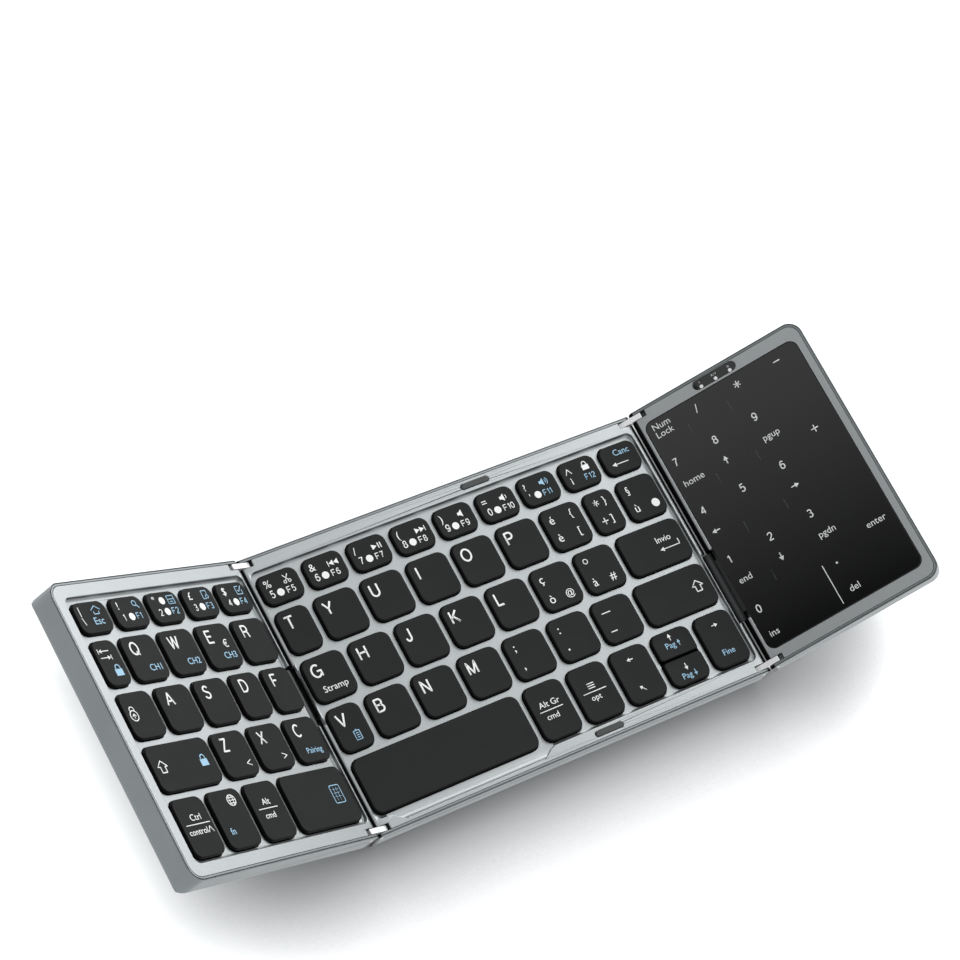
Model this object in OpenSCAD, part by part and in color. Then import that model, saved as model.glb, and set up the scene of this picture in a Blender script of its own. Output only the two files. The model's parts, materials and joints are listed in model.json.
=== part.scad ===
// Folding keyboard in three panels: a middle panel on feet, a left wing with keys and a right wing
// with a touch number pad. Two links a side join each wing to the middle, and the wings stand raised.
// X runs along the keyboard, Y towards its back, and the origin is the bottom centre of the whole box.

/* [Panels] */
// Width of the middle panel
mid_w = 152.7; // [142:0.1:167]
// Width of the left wing
left_w = 88.5; // [81:0.1:101]
// Width of the right wing
right_w = 63.8; // [57:0.1:73]
// Depth of all three panels, front to back
depth = 98; // [94:1:110]
// Thickness of a panel without its feet
panel_t = 9; // [8.6:0.1:12]
// Radius of the outer corners, seen from above
corner_r = 5; // [2:0.5:8]
// Rounding of the lower outer edges
edge_r = 2; // [0.5:0.1:3]
// Rounding of the lower edges along the hinges
hinge_edge_r = 1.2; // [0.4:0.1:1.3]
// Rounding of the narrow strip round the top
strip_edge_r = 0.35; // [0.1:0.05:0.6]

/* [Case] */
// Floor of the trays
floor_t = 1; // [0.8:0.1:1.4]
// Outer walls of the trays below the top plate
wall_t = 2.1; // [1.8:0.1:3]
// Strip of tray that stands round the top plate
lip_t = 1.1; // [0.8:0.1:1.4]
// Tray wall under the hinge edge
hinge_wall_t = 1.2; // [1:0.1:1.6]
// Thickness of the top plate
frame_t = 2.7; // [2.6:0.1:3]
// Gap between the top plate and the strip of tray round it
seam = 0.08; // [0.04:0.02:0.2]
// Depth of the recess that the keys stand in
recess_d = 1.4; // [1:0.1:1.7]
// Corner radius of the key recess
recess_r = 2.4; // [1:0.1:4]

/* [Wing angles] */
// How far the left wing is raised
left_raise = 29; // [0:1:60]
// How far the right wing is raised
right_raise = 35; // [0:1:60]

/* [Hinges] */
// Distance between the two pins of a link
pin_pitch = 5.4; // [5.1:0.1:7]
// How far the pins sit in from the panel edge
pin_inset = 2.5; // [2.3:0.1:2.5]
// How far the pins sit below the rim
pin_drop = 2.5; // [2.2:0.1:2.6]
// Radius of the pins
pin_r = 0.6; // [0.4:0.05:0.7]
// Width of a link
link_w = 1.8; // [1.6:0.1:3]
// How far a link reaches past its pins
link_tail = 1.5; // [1.2:0.1:1.6]
// Room beside a link in its notch
link_side_gap = 0.2; // [0.1:0.05:0.4]
// Wall on the inner side of a notch
lug_t = 1.6; // [1.2:0.1:2]
// Radius of the round cable covers
barrel_r = 1.6; // [1.2:0.1:1.7]
// How far the cable covers lie below the pins
barrel_drop = 1.6; // [1.4:0.1:2]
// Length of the left cable cover
left_barrel_l = 20.5; // [16:0.5:30]
// Length of the right cable cover
right_barrel_l = 25.5; // [20:0.5:32]
// Place of the left cable cover from the middle of the depth
left_barrel_y = 0.5; // [-10:0.5:10]
// Place of the right cable cover from the middle of the depth
right_barrel_y = -17.5; // [-20:0.5:10]

/* [Keys] */
// Width of a letter key
key_w = 14.85; // [14:0.05:15.4]
// Front-to-back size of the number row
number_key_d = 10.5; // [9:0.1:10.8]
// Front-to-back size of the space row
space_key_d = 18.9; // [16:0.1:19]
// Space between keys
key_gap = 2.35; // [2:0.05:2.6]
// Corner radius of a key, seen from above
key_r = 3; // [1.4:0.1:3.5]
// Room round a key in its hole
key_clear = 0.25; // [0.15:0.05:0.35]
// How far the key tops lie below the rim
key_sink = 0.1; // [0.05:0.05:0.4]
// Height of a key cap
cap_h = 2.6; // [2.2:0.1:2.8]
// How far a key goes down
key_travel = 1.3; // [0.8:0.1:1.4]
// Width of the keys beside the long space key
modifier_key_w = 14.35; // [13:0.05:15.2]
// Width of the right arrow key
last_arrow_key_w = 14.1; // [13:0.1:15]
// Width of the first key in the rows above and below the home row, beside the left hinge
end_key_w = 11.55; // [10:0.05:13]
// Width of the keys beside the left space key
left_modifier_key_w = 14.4; // [13:0.1:15.2]
// Width of the key in the front corner of the left wing
corner_key_w = 13.5; // [12:0.1:15]
// Width of the two letter keys next to the left hinge
narrow_key_w = 12.9; // [12:0.1:15]

/* [Touch pad] */
// Rim between the glass and the outer edge
glass_side = 3.7; // [3.5:0.1:6]
// Rim between the glass and the front edge
glass_front = 5.3; // [5:0.1:8]
// Rim between the glass and the rear edge
glass_rear = 5.8; // [5.6:0.1:8]
// Thickness of the glass
glass_t = 1.1; // [0.7:0.1:1.2]
// Length of the light window
window_l = 16; // [12:0.5:22]
// Width of the light window
window_w = 3.4; // [2.6:0.1:3.4]

/* [Feet and stops] */
// Length of a foot
foot_l = 16; // [8:1:24]
// Width of a foot
foot_w = 5; // [3:0.5:7]
// How far a foot stands out
foot_h = 0.6; // [0.3:0.1:1]
// How deep a foot sits in its pocket
foot_pocket = 0.4; // [0.2:0.1:0.6]
// Length of a rubber stop
stop_l = 11; // [8:0.5:16]
// Width of a rubber stop
stop_w = 2; // [1.6:0.1:2.4]
// How far a stop stands above the rim
stop_proud = 0.3; // [0.1:0.05:0.35]

/* [Hidden] */
$fn = 32;
arc_steps = 6;
cut = 1;                                    // how far a cutting shape runs past a face
clear = 0.3;                                // room round anything that moves
thread_clear = 0.05;                        // radial room of pins and screws in their holes
link_pin_clear = 0.04;                      // radial room of a link on its pin

// Heights above the underside of a tray
seat_z = panel_t - frame_t;                 // ledge that the top plate sits on
pin_z = panel_t - pin_drop;
cap_top_z = panel_t - key_sink;
cap_z = cap_top_z - cap_h;                  // lower rim of a key cap at rest
web_z = panel_t - recess_d;                 // floor of the key recess
hinge_top_r = pin_drop;                     // upper hinge edges are round about the pins
dome_h = key_travel + 0.2;
membrane_t = 0.3;
membrane_z = cap_z - dome_h - membrane_t;
plate_t = 0.5;
plate_z = membrane_z - plate_t;
board_t = 0.8;
board_z = floor_t + 1.2;
board_top_z = board_z + board_t;

// Hinge places in a panel, seen along the hinge
notch_w = link_w + 2*link_side_gap;
notch_y = depth/2 - lip_t - notch_w;        // inner side of a notch
swing_r = sqrt(pow(link_tail, 2) + pow(pin_drop, 2));
notch_l = pin_inset + swing_r + clear;
notch_z = pin_z - link_tail - clear;        // floor of a notch
lug_y = notch_y - lug_t;
lug_in = pin_inset - 1.3;                   // a lug's top to the hinge edge
lug_l = notch_l + 1;
lug_roof = 1.3;                             // top plate over a lug
lug_top_z = panel_t - lug_roof;
pin_l = lip_t + notch_w + lug_t;
barrel_cut_d = pin_inset - barrel_drop + barrel_r + 0.2;
barrel_cut_z = pin_z - barrel_drop - barrel_r - clear;

// Key rows: margins, row sizes from the number row forward, and key widths
front_margin = 6.5;
rear_margin = 7.3;
mid_margin_l = 3.7;
mid_margin_r = 4.1;
left_margin_out = 6.2;
left_margin_in = 3.4;
rows_d = depth - front_margin - rear_margin;
key_d = (rows_d - number_key_d - space_key_d - 4*key_gap)/3;     // letter key, front to back
row_d = [number_key_d, key_d, key_d, key_d, space_key_d];
mid_field = mid_w - mid_margin_l - mid_margin_r;
left_field = left_w - left_margin_out - left_margin_in;
mid_x0 = -mid_w/2 + mid_margin_l;
left_x0 = -left_w/2 + left_margin_out;
field_y0 = -depth/2 + front_margin;
rows_top = field_y0 + rows_d;
half_key_gap = 0.7;                         // between the up and down keys, which share one place and one hole
half_key_r = 0.8;                           // their corners where they meet
half_key_d = (space_key_d - half_key_gap)/2;
function many(n, w) = [for (i = [1:n]) w];
function total(v, i = 0) = i < len(v) ? v[i] + total(v, i + 1) : 0;
function rest_of(field, v) = field - total(v) - len(v)*key_gap;
mid_rows = [
    many(9, (mid_field - 8*key_gap)/9),
    concat(end_key_w, many(6, key_w), rest_of(mid_field, concat(end_key_w, many(6, key_w), modifier_key_w)),
           modifier_key_w),
    concat(many(7, key_w), rest_of(mid_field, many(7, key_w))),
    concat(end_key_w, many(6, key_w), rest_of(mid_field, concat(end_key_w, many(6, key_w)))),
    concat(rest_of(mid_field, concat(many(3, modifier_key_w), key_w, last_arrow_key_w)),
           many(3, modifier_key_w), key_w, last_arrow_key_w)
];
left_rows = [
    many(5, (left_field - 4*key_gap)/5),
    concat(rest_of(left_field, many(4, key_w)), many(4, key_w)),
    concat(rest_of(left_field, [key_w, key_w, narrow_key_w, narrow_key_w]),
           key_w, key_w, narrow_key_w, narrow_key_w),
    concat(rest_of(left_field, many(3, key_w)), many(3, key_w)),
    concat(corner_key_w, many(2, left_modifier_key_w),
           rest_of(left_field, concat(corner_key_w, many(2, left_modifier_key_w))))
];
up_down = 4;                                // place of the up and down keys in the space row

// A cell is [left, front, width, depth] of one key in its panel, with its corner radii where they differ
function before(v, i) = i <= 0 ? 0 : v[i - 1] + key_gap + before(v, i - 1);
function row_y(r) = rows_top - before(row_d, r) - row_d[r];
function row_cells(rows, x0, r) =
    [for (i = [0:len(rows[r]) - 1]) [x0 + before(rows[r], i), row_y(r), rows[r][i], row_d[r]]];
function pick(v, a, b) = [for (i = [a:b]) v[i]];
space_row = row_cells(mid_rows, mid_x0, 4);
down_cell = [space_row[up_down][0], row_y(4), space_row[up_down][2], half_key_d,
    [key_r, key_r, half_key_r, half_key_r]];
up_cell = [down_cell[0], row_y(4) + space_key_d - half_key_d, down_cell[2], half_key_d,
    [half_key_r, half_key_r, key_r, key_r]];
mid_cells = concat([for (r = [0:3]) each row_cells(mid_rows, mid_x0, r)],
                   pick(space_row, 0, up_down - 1), [up_cell, down_cell, space_row[up_down + 1]]);
mid_holes = [for (r = [0:4]) each row_cells(mid_rows, mid_x0, r)];
left_cells = [for (r = [0:4]) each row_cells(left_rows, left_x0, r)];

// Recess round the keys
recess_side = 1.1;                          // towards a hinge
recess_out = 1.6;                           // towards the outer edge of the left wing
recess_front = 1.3;
recess_rear = 2;
wall_hollow = [0.6, 1.2];                   // hollow of the recess walls, at the sides and at the ends
trough_front = 2.3;                         // front rim left beside the trough under the space key
trough_in = 9.4;                            // left end of the space key to the trough's straight front
trough_l = mid_rows[4][0] - trough_in - 2;
trough_blend = 6.2;                         // length of the smooth curve at each end
trough_hollow = 2.9;                        // width of the trough's rounded front

// Screws, their posts and where they stand, between the key rows
screw_r = 0.7;
screw_head_r = 1.2;
screw_head_h = 0.4;
screw_l = 3;
post_r = 1.8;
shoulder_r = 3;
gap_front_y = row_y(4) + space_key_d + key_gap/2;
gap_mid_y = row_y(2) + key_d + key_gap/2;
gap_rear_y = row_y(1) + key_d + key_gap/2;
mid_screw_x = mid_w/3;
left_screw_x = left_w/4;
mid_screws = [for (x = [-mid_screw_x, 0, mid_screw_x], y = [gap_front_y, gap_mid_y]) [x, y]];
left_screws = [for (x = [-left_screw_x, left_screw_x], y = [gap_front_y, gap_rear_y]) [x, y]];

// Boards and what they carry
plate_inset = 4.1;                          // key plate to a hinge edge
plate_side = 4.6;                           // key plate to the outer edge, past the magnets
plate_end = 6.3;                            // key plate to the front and rear edges
cable_room = 6.7;                           // plate cut back where the cable comes in
main_board_side = 10.1;
main_board_front = 16;
main_board_rear = 66;
link_board_w = 18;
link_board_d = 24;
link_board_in = 7.1;
cable_t = 0.25;
cable_margin = 3;                           // cable to each end of its cover
cable_lap = 5;                              // cable lying on a board
cable_in = 4.2;                             // where the cable bends down inside a panel
slit_h = 0.9;
barrel_bore = barrel_r - 0.6;
magnet_t = 1.6;
magnet_l = 12;
magnet_h = 4.4;
magnet_y = 27;

// Touch pad
glass_in = 2.75;                            // rim between the glass and the hinge edge
glass_drop = 0.15;
glass_r = 3;
glass_gap = 0.1;
glass_ledge = 1.2;
glass_z = panel_t - glass_drop - glass_t;
touch_board_z = glass_z - board_t;
window_x = -0.45;                            // along the wing, from its middle
window_y = depth/2 - 3.2;
window_t = 1;
window_ledge = 0.5;
window_gap = 0.06;
led_pitch = 5.4;
led_size = [1.6, 1, 0.7];
led_board_w = 18;
led_board_d = 5;
battery_w = 34;
battery_d = 46;
battery_h = 3.6;
battery_y = -8;
charge_board_w = 20;
charge_board_d = 14;
charge_board_z = floor_t + 0.5;
charge_screw_x = 8;
charge_screw_in = 11;
charge_screw_l = 0.4;                       // charge screw below its board
socket_x = 12.55;
socket_w = 8.94;
socket_h = 3.2;
socket_l = 7.4;
socket_wall = 0.3;
socket_sunk = 0.5;
socket_z = charge_board_z + board_t + socket_h/2;
socket_gap = 0.15;
tongue_w = 6.7;
tongue_t = 0.7;
tongue_l = 5;

// Feet and stops
foot_in = 12;                               // foot centre to a panel's side
foot_end = 8;                               // foot centre to the front or rear edge
foot_t = foot_h + foot_pocket;
stop_pocket = 0.8;
stop_end = 3.1;                             // stop centre to the front or rear edge

// Where the folded wings meet, from the middle of the middle panel, with the wings' gap shared
meet_x = (left_w - right_w)/2;

// Extent of the raised wings, which places the origin under the middle of the whole box
function reach(w, a) = mid_w/2 - pin_inset + (pin_pitch + w - pin_inset)*cos(a) + low_edge(a);
function low_edge(a) = (pin_z - edge_r)*sin(a) - edge_r*cos(a) + edge_r;
shift_x = (reach(left_w, left_raise) - reach(right_w, right_raise))/2;

// Outlines

function arc(x, y, r, a) =
    [for (i = [0:arc_steps]) [x + r*cos(a + 90*i/arc_steps), y + r*sin(a + 90*i/arc_steps)]];
function corner(x, y, r, a) = r > 0 ? arc(x, y, r, a) : [[x, y]];
// Rectangle with four corner radii, from the lower left corner round
function rounded(x0, y0, x1, y1, r) = concat(
    corner(x0 + r[0], y0 + r[0], r[0], 180), corner(x1 - r[1], y0 + r[1], r[1], 270),
    corner(x1 - r[2], y1 - r[2], r[2], 0), corner(x0 + r[3], y1 - r[3], r[3], 90));
function even(r) = [r, r, r, r];

// A block with rounded corners from above, and rounded edges from the front and from the side
module soft_block(x0, y0, z0, x1, y1, z1, plan_r, front_r, side_r) {
    intersection() {
        translate([0, 0, z0]) linear_extrude(z1 - z0) polygon(rounded(x0, y0, x1, y1, plan_r));
        translate([0, y1 + cut, 0]) rotate([90, 0, 0])
            linear_extrude(y1 - y0 + 2*cut) polygon(rounded(x0, z0, x1, z1, front_r));
        translate([x0 - cut, 0, 0]) rotate([90, 0, 90])
            linear_extrude(x1 - x0 + 2*cut) polygon(rounded(y0, z0, y1, z1, side_r));
    }
}

// A box from one corner to the other
module block(x0, y0, z0, x1, y1, z1) {
    translate([x0, y0, z0]) cube([x1 - x0, y1 - y0, z1 - z0]);
}

// A flat bar with round ends along X, centred
module round_bar(l, w, h) {
    translate([-(l - w)/2, -w/2, 0]) cube([l - w, w, h]);
    for (s = [-1, 1]) translate([s*(l - w)/2, 0, 0]) cylinder(h = h, r = w/2);
}

// Places

module on_middle() {
    translate([shift_x, 0, foot_h]) children();
}

// At the middle panel's pin on one side, X pointing away from the middle
module at_hinge(side) {
    on_middle() translate([side*(mid_w/2 - pin_inset), 0, pin_z]) mirror([side < 0 ? 1 : 0, 0, 0]) children();
}

// In a wing's own frame, centred on the wing with its underside at zero
module on_wing(side, w, a) {
    on_middle() translate([side*(mid_w/2 - pin_inset), 0, pin_z]) rotate([0, -side*a, 0])
        translate([side*(pin_pitch + w/2 - pin_inset), 0, -pin_z]) children();
}

module on_left() {
    on_wing(-1, left_w, left_raise) children();
}

module on_right() {
    on_wing(1, right_w, right_raise) children();
}

// Shared pieces of a panel. A panel's hinges are a list of sides: -1 for its left edge, 1 for its right

function has(hinges, side) = len([for (s = hinges) if (s == side) s]) > 0;
function by_side(hinges, hinge_value, outer_value) = [
    has(hinges, -1) ? hinge_value : outer_value, has(hinges, 1) ? hinge_value : outer_value];

// Repeats a shape made for a left edge at each hinge edge, X running into the panel
module each_hinge(w, hinges) {
    for (s = hinges) mirror([s > 0 ? 1 : 0, 0, 0]) translate([-w/2, 0, 0]) children();
}

module each_end() {
    for (s = [0, 1]) mirror([0, s, 0]) children();
}

// Notches that the links turn in
module link_notches(w, hinges) {
    each_hinge(w, hinges) each_end()
        block(-cut, notch_y, notch_z, notch_l, depth/2 - lip_t, panel_t + cut);
}

// Room for the cable cover along a hinge edge, from below the cover to the top
module barrel_cut(w, side, y, l) {
    each_hinge(w, [side])
        block(-cut, y - l/2 - clear, barrel_cut_z, barrel_cut_d, y + l/2 + clear, panel_t + cut);
}

module foot_places(w, hinges) {
    for (s = [-1, 1], e = [-1, 1]) if (len(hinges) > 1 || !has(hinges, s))
        translate([s*(w/2 - foot_in), e*(depth/2 - foot_end), -foot_h]) children();
}

module feet(w, hinges) {
    color("#262828") foot_places(w, hinges) round_bar(foot_l, foot_w, foot_t);
}

// Fine groove that runs round the top of a tray just inside its outer edge
groove_in = 0.22;
groove_w = 0.26;
groove_d = 0.5;
module groove_line(w, hinges, in, z) {
    e = by_side(hinges, -cut, in);
    r = by_side(hinges, 0, corner_r - in);
    translate([0, 0, z]) linear_extrude(panel_t) polygon(rounded(
        -w/2 + e[0], -depth/2 + in, w/2 - e[1], depth/2 - in, [r[0], r[1], r[1], r[0]]));
}
module edge_groove(w, hinges) {
    difference() {
        groove_line(w, hinges, groove_in, panel_t - groove_d);
        groove_line(w, hinges, groove_in + groove_w, panel_t - groove_d - cut);
    }
}

// Tray: floor and walls in one pressed and milled shell, with hinge lugs in its corners
module tray(w, hinges) {
    plan = by_side(hinges, 0.6, corner_r);
    low = by_side(hinges, hinge_edge_r, edge_r);
    top = by_side(hinges, hinge_top_r, strip_edge_r);
    in = by_side(hinges, hinge_wall_t, wall_t);
    over = by_side(hinges, -cut, lip_t);
    in_r = by_side(hinges, 0, corner_r - wall_t);
    over_r = by_side(hinges, 0, corner_r - lip_t);
    difference() {
        union() {
            difference() {
                soft_block(-w/2, -depth/2, 0, w/2, depth/2, panel_t,
                    [plan[0], plan[1], plan[1], plan[0]],
                    [low[0], low[1], top[1], top[0]],
                    [edge_r, edge_r, strip_edge_r, strip_edge_r]);
                translate([0, 0, floor_t]) linear_extrude(panel_t) polygon(rounded(
                    -w/2 + in[0], -depth/2 + wall_t, w/2 - in[1], depth/2 - wall_t,
                    [in_r[0], in_r[1], in_r[1], in_r[0]]));
                translate([0, 0, seat_z]) linear_extrude(panel_t) polygon(rounded(
                    -w/2 + over[0], -depth/2 + lip_t, w/2 - over[1], depth/2 - lip_t,
                    [over_r[0], over_r[1], over_r[1], over_r[0]]));
            }
            each_hinge(w, hinges) each_end() {
                block(hinge_wall_t/2, lug_y, floor_t/2, lug_l, depth/2 - wall_t/2, notch_z);
                block(lug_in, lug_y, floor_t/2, lug_l, notch_y, lug_top_z);
                block(0, lug_y, pin_z - pin_inset, lug_in + cut, notch_y, seat_z);
            }
        }
        edge_groove(w, hinges);
        link_notches(w, hinges);
        each_hinge(w, hinges) translate([pin_inset, 0, pin_z]) rotate([90, 0, 0])
            cylinder(h = depth + 2*cut, r = pin_r + thread_clear, center = true);
        foot_places(w, hinges) round_bar(foot_l, foot_w, foot_t);
    }
}

// Screw posts on a tray's floor, with a shoulder that a board can sit on
module posts(places, shoulder_z) {
    for (p = places) translate([p[0], p[1], 0]) difference() {
        union() {
            translate([0, 0, floor_t]) cylinder(h = shoulder_z - floor_t, r = shoulder_r);
            translate([0, 0, floor_t]) cylinder(h = plate_z - floor_t, r = post_r);
        }
        translate([0, 0, plate_z - screw_l]) cylinder(h = screw_l + cut, r = screw_r + thread_clear);
    }
}

module screws(places, z) {
    color("#9a9c9d") for (p = places) translate([p[0], p[1], z]) {
        cylinder(h = screw_head_h, r = screw_head_r);
        translate([0, 0, plate_t - screw_l]) cylinder(h = screw_l - plate_t + screw_head_h/2, r = screw_r);
    }
}

// Top plate blank: fills the tray's top out to the hinge edges, with room for lugs and links
module top_plate_blank(w, hinges) {
    side = by_side(hinges, 0, lip_t + seam);
    r = by_side(hinges, 0, corner_r - lip_t);
    top_r = by_side(hinges, hinge_top_r, 0);
    y = depth/2 - lip_t - seam;
    difference() {
        soft_block(-w/2 + side[0], -y, seat_z, w/2 - side[1], y, panel_t,
            [r[0], r[1], r[1], r[0]], [0, 0, top_r[1], top_r[0]], [0, 0, 0, 0]);
        link_notches(w, hinges);
        each_hinge(w, hinges) each_end() {
            block(lug_in - seam, lug_y - seam, seat_z - cut, lug_l + seam, notch_y, lug_top_z);
        }
    }
}

// Recess and key holes of a top plate
module key_opening(w, margin_l, margin_r, side_l, cells) {
    soft_block(-w/2 + margin_l - side_l, field_y0 - recess_front, web_z,
        w/2 - margin_r + recess_side, rows_top + recess_rear, panel_t + cut, even(recess_r),
        [wall_hollow[0], wall_hollow[0], 0, 0], [wall_hollow[1], wall_hollow[1], 0, 0]);
    for (c = cells) translate([0, 0, seat_z - cut]) linear_extrude(frame_t + 2*cut) polygon(rounded(
        c[0] - key_clear, c[1] - key_clear, c[0] + c[2] + key_clear, c[1] + c[3] + key_clear,
        even(key_r + key_clear)));
}

// Key plate and membrane blank, cut back where the cables come in
module key_sheet(w, margin, z, t, cuts, places, hole_r) {
    difference() {
        block(-w/2 + margin[0], -depth/2 + plate_end, z, w/2 - margin[1], depth/2 - plate_end, z + t);
        for (c = cuts) each_hinge(w, [c[0]])
            block(-cut, c[1] - c[2]/2, z - cut, cable_room, c[1] + c[2]/2, z + t + cut);
        for (p = places) translate([p[0], p[1], z - cut]) cylinder(h = t + 2*cut, r = hole_r);
    }
}

// One key cap: a shell with rounded corners and top edges, and a stem that presses its dome
cap_edge_r = 0.25;
cap_wall = 1.1;
cap_hollow = 1.2;
stem_r = 1.6;
module cap(c) {
    x1 = c[0] + c[2];
    y1 = c[1] + c[3];
    r = len(c) > 4 ? c[4] : even(key_r);
    difference() {
        soft_block(c[0], c[1], cap_z, x1, y1, cap_top_z, r,
            [0, 0, cap_edge_r, cap_edge_r], [0, 0, cap_edge_r, cap_edge_r]);
        translate([0, 0, cap_z - cut]) linear_extrude(cap_hollow + cut) polygon(rounded(
            c[0] + cap_wall, c[1] + cap_wall, x1 - cap_wall, y1 - cap_wall, [for (v = r) max(v - cap_wall, 0)]));
    }
    translate([(c[0] + x1)/2, (c[1] + y1)/2, cap_z]) cylinder(h = cap_hollow + 0.1, r = stem_r);
}

module caps(cells) {
    color("#2b2c2b") for (c = cells) cap(c);
}

dome_base_r = 2.2;
dome_top_r = 1.3;
module domes(cells) {
    color("#c9c7bd") for (c = cells) translate([c[0] + c[2]/2, c[1] + c[3]/2, membrane_z + membrane_t])
        cylinder(h = dome_h, r1 = dome_base_r, r2 = dome_top_r);
}

// Scissor lift under a key: a cross of thin arms on each side, joined by a rod at one end
arm_t = 0.2;
arm_w = 0.7;
arm_reach = 4.5;
arm_rise = dome_h/2 - arm_t - 0.05;
wide_key = 24;
module scissor(half_x, half_y) {
    cross = arm_t*half_y/arm_rise;
    for (s = [-1, 1]) translate([s*half_x - arm_w/2, 0, 0]) rotate([90, 0, 90]) linear_extrude(arm_w)
        polygon([[half_y, arm_rise + arm_t], [0, arm_t], [-half_y, arm_rise + arm_t],
            [-half_y, arm_rise - arm_t], [-cross, 0], [-half_y, arm_t - arm_rise],
            [-half_y, -arm_rise - arm_t], [0, -arm_t], [half_y, -arm_rise - arm_t],
            [half_y, arm_t - arm_rise], [cross, 0], [half_y, arm_rise - arm_t]]);
    translate([0, half_y - arm_w/2, -arm_rise]) rotate([0, 90, 0])
        cylinder(h = 2*half_x, r = arm_t*0.8, center = true);
}

module scissors(cells) {
    z = membrane_z + membrane_t + dome_h/2;
    color("#d9d9d4") for (c = cells) {
        wide = c[2] > wide_key;
        for (s = wide ? [-1, 1] : [0])
            translate([c[0] + c[2]/2 + s*c[2]/4, c[1] + c[3]/2, z])
                scissor(wide ? c[2]/4 - 3 : min(arm_reach, c[2]/2 - 1.6), min(arm_reach, c[3]/2 - 1.2));
    }
}

// Hinge pins in their ears, ends flush with the front and rear faces
module hinge_pins(w, hinges) {
    color("#d6d8d9") each_hinge(w, hinges) each_end()
        translate([pin_inset, depth/2, pin_z]) rotate([90, 0, 0]) cylinder(h = pin_l, r = pin_r);
}

// Two links on one side, in line with their wing, tops flush with the rims
module links(side, a) {
    y1 = depth/2 - lip_t - link_side_gap;
    color("#e6e8e9") at_hinge(side) rotate([0, -a, 0]) each_end() difference() {
        union() {
            block(-link_tail, y1 - link_w, 0, pin_pitch + link_tail, y1, pin_drop);
            block(0, y1 - link_w, -link_tail, pin_pitch, y1, 1);
            for (x = [0, pin_pitch]) translate([x, y1, 0]) rotate([90, 0, 0])
                cylinder(h = link_w, r = link_tail);
        }
        for (x = [0, pin_pitch]) translate([x, y1 + cut, 0]) rotate([90, 0, 0])
            cylinder(h = link_w + 2*cut, r = pin_r + link_pin_clear);
    }
}

// Round cable cover between the panels, slit on both sides for the cable
module cable_cover(side, a, y, l) {
    color("#2c2d2d") at_hinge(side) rotate([0, -a, 0]) translate([pin_pitch/2, y, -barrel_drop]) difference() {
        rotate([90, 0, 0]) cylinder(h = l, r = barrel_r, center = true);
        rotate([90, 0, 0]) cylinder(h = l - 2*cable_margin + 1, r = barrel_bore, center = true);
        cube([4*barrel_r, l - 2*cable_margin + 1, slit_h], center = true);
    }
}

// A ribbon of one thickness along a line of points
function unit(v) = v/norm(v);
function side_of(p, i) = let (
    u = i > 0 ? unit(p[i] - p[i - 1]) : unit(p[1] - p[0]),
    v = i < len(p) - 1 ? unit(p[i + 1] - p[i]) : u,
    m = unit(u + v)) [-m[1], m[0]]/(m*u);
function ribbon(p, t) = concat(
    [for (i = [0:len(p) - 1]) p[i] + side_of(p, i)*t/2],
    [for (i = [len(p) - 1:-1:0]) p[i] - side_of(p, i)*t/2]);

// Flat cable from the main board through the cover to a wing, ending at height end_z in the wing
module flat_cable(side, a, y, l, end_z) {
    along = [cos(a), sin(a)];
    up = [-sin(a), cos(a)];
    middle = along*pin_pitch/2 - up*barrel_drop;
    wing_pin = along*pin_pitch;
    out = barrel_r + 0.4;
    start_z = board_top_z + cable_t/2 - pin_z;
    points = [[-cable_in - cable_lap, start_z], [-cable_in, start_z], middle - along*out, middle + along*out,
        wing_pin + along*cable_in + up*end_z, wing_pin + along*(cable_in + cable_lap) + up*end_z];
    color("#2a2b2b") at_hinge(side) translate([0, y, 0]) rotate([90, 0, 0])
        linear_extrude(l - 2*cable_margin, center = true) polygon(ribbon(points, cable_t));
}

// Middle panel

module middle_tray() {
    color("#8d9192") on_middle() {
        difference() {
            tray(mid_w, [-1, 1]);
            barrel_cut(mid_w, -1, left_barrel_y, left_barrel_l);
            barrel_cut(mid_w, 1, right_barrel_y, right_barrel_l);
        }
        posts(mid_screws, board_z);
    }
}

// Trough in the front rim under the space key, with a smooth curve at each end
function ease(t) = (1 - cos(180*t))/2;
module space_trough() {
    x0 = mid_x0 + trough_in;
    y0 = -depth/2 + trough_front;
    y1 = field_y0 - recess_front;
    n = 2*arc_steps;
    rise = [for (i = [0:n]) let (t = i/n) [x0 - trough_blend*(1 - t), y1 - (y1 - y0)*ease(t)]];
    fall = [for (i = [0:n]) let (t = i/n) [x0 + trough_l + trough_blend*t, y0 + (y1 - y0)*ease(t)]];
    r = (pow(trough_hollow, 2) + pow(recess_d, 2))/(2*recess_d);
    a = asin(trough_hollow/r);
    hollow = [for (i = [n:-1:0]) [y0 + trough_hollow - r*sin(a*i/n), web_z + r*(1 - cos(a*i/n))]];
    intersection() {
        translate([0, 0, web_z]) linear_extrude(recess_d + cut) polygon(concat(
            [[x0 - trough_blend, field_y0]], rise, fall, [[x0 + trough_l + trough_blend, field_y0]]));
        translate([-mid_w/2, 0, 0]) rotate([90, 0, 90]) linear_extrude(mid_w) polygon(concat(
            [[y0, panel_t + cut]], hollow, [[field_y0 + cut, web_z], [field_y0 + cut, panel_t + cut]]));
    }
}

module stop_places() {
    for (s = [-1, 1]) translate([meet_x, s*(depth/2 - stop_end), panel_t - stop_pocket]) children();
}

module middle_top_plate() {
    color("#a6aaab") on_middle() difference() {
        top_plate_blank(mid_w, [-1, 1]);
        key_opening(mid_w, mid_margin_l, mid_margin_r, recess_side, mid_holes);
        space_trough();
        barrel_cut(mid_w, -1, left_barrel_y, left_barrel_l);
        barrel_cut(mid_w, 1, right_barrel_y, right_barrel_l);
        stop_places() round_bar(stop_l, stop_w, stop_pocket + cut);
    }
}

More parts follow.
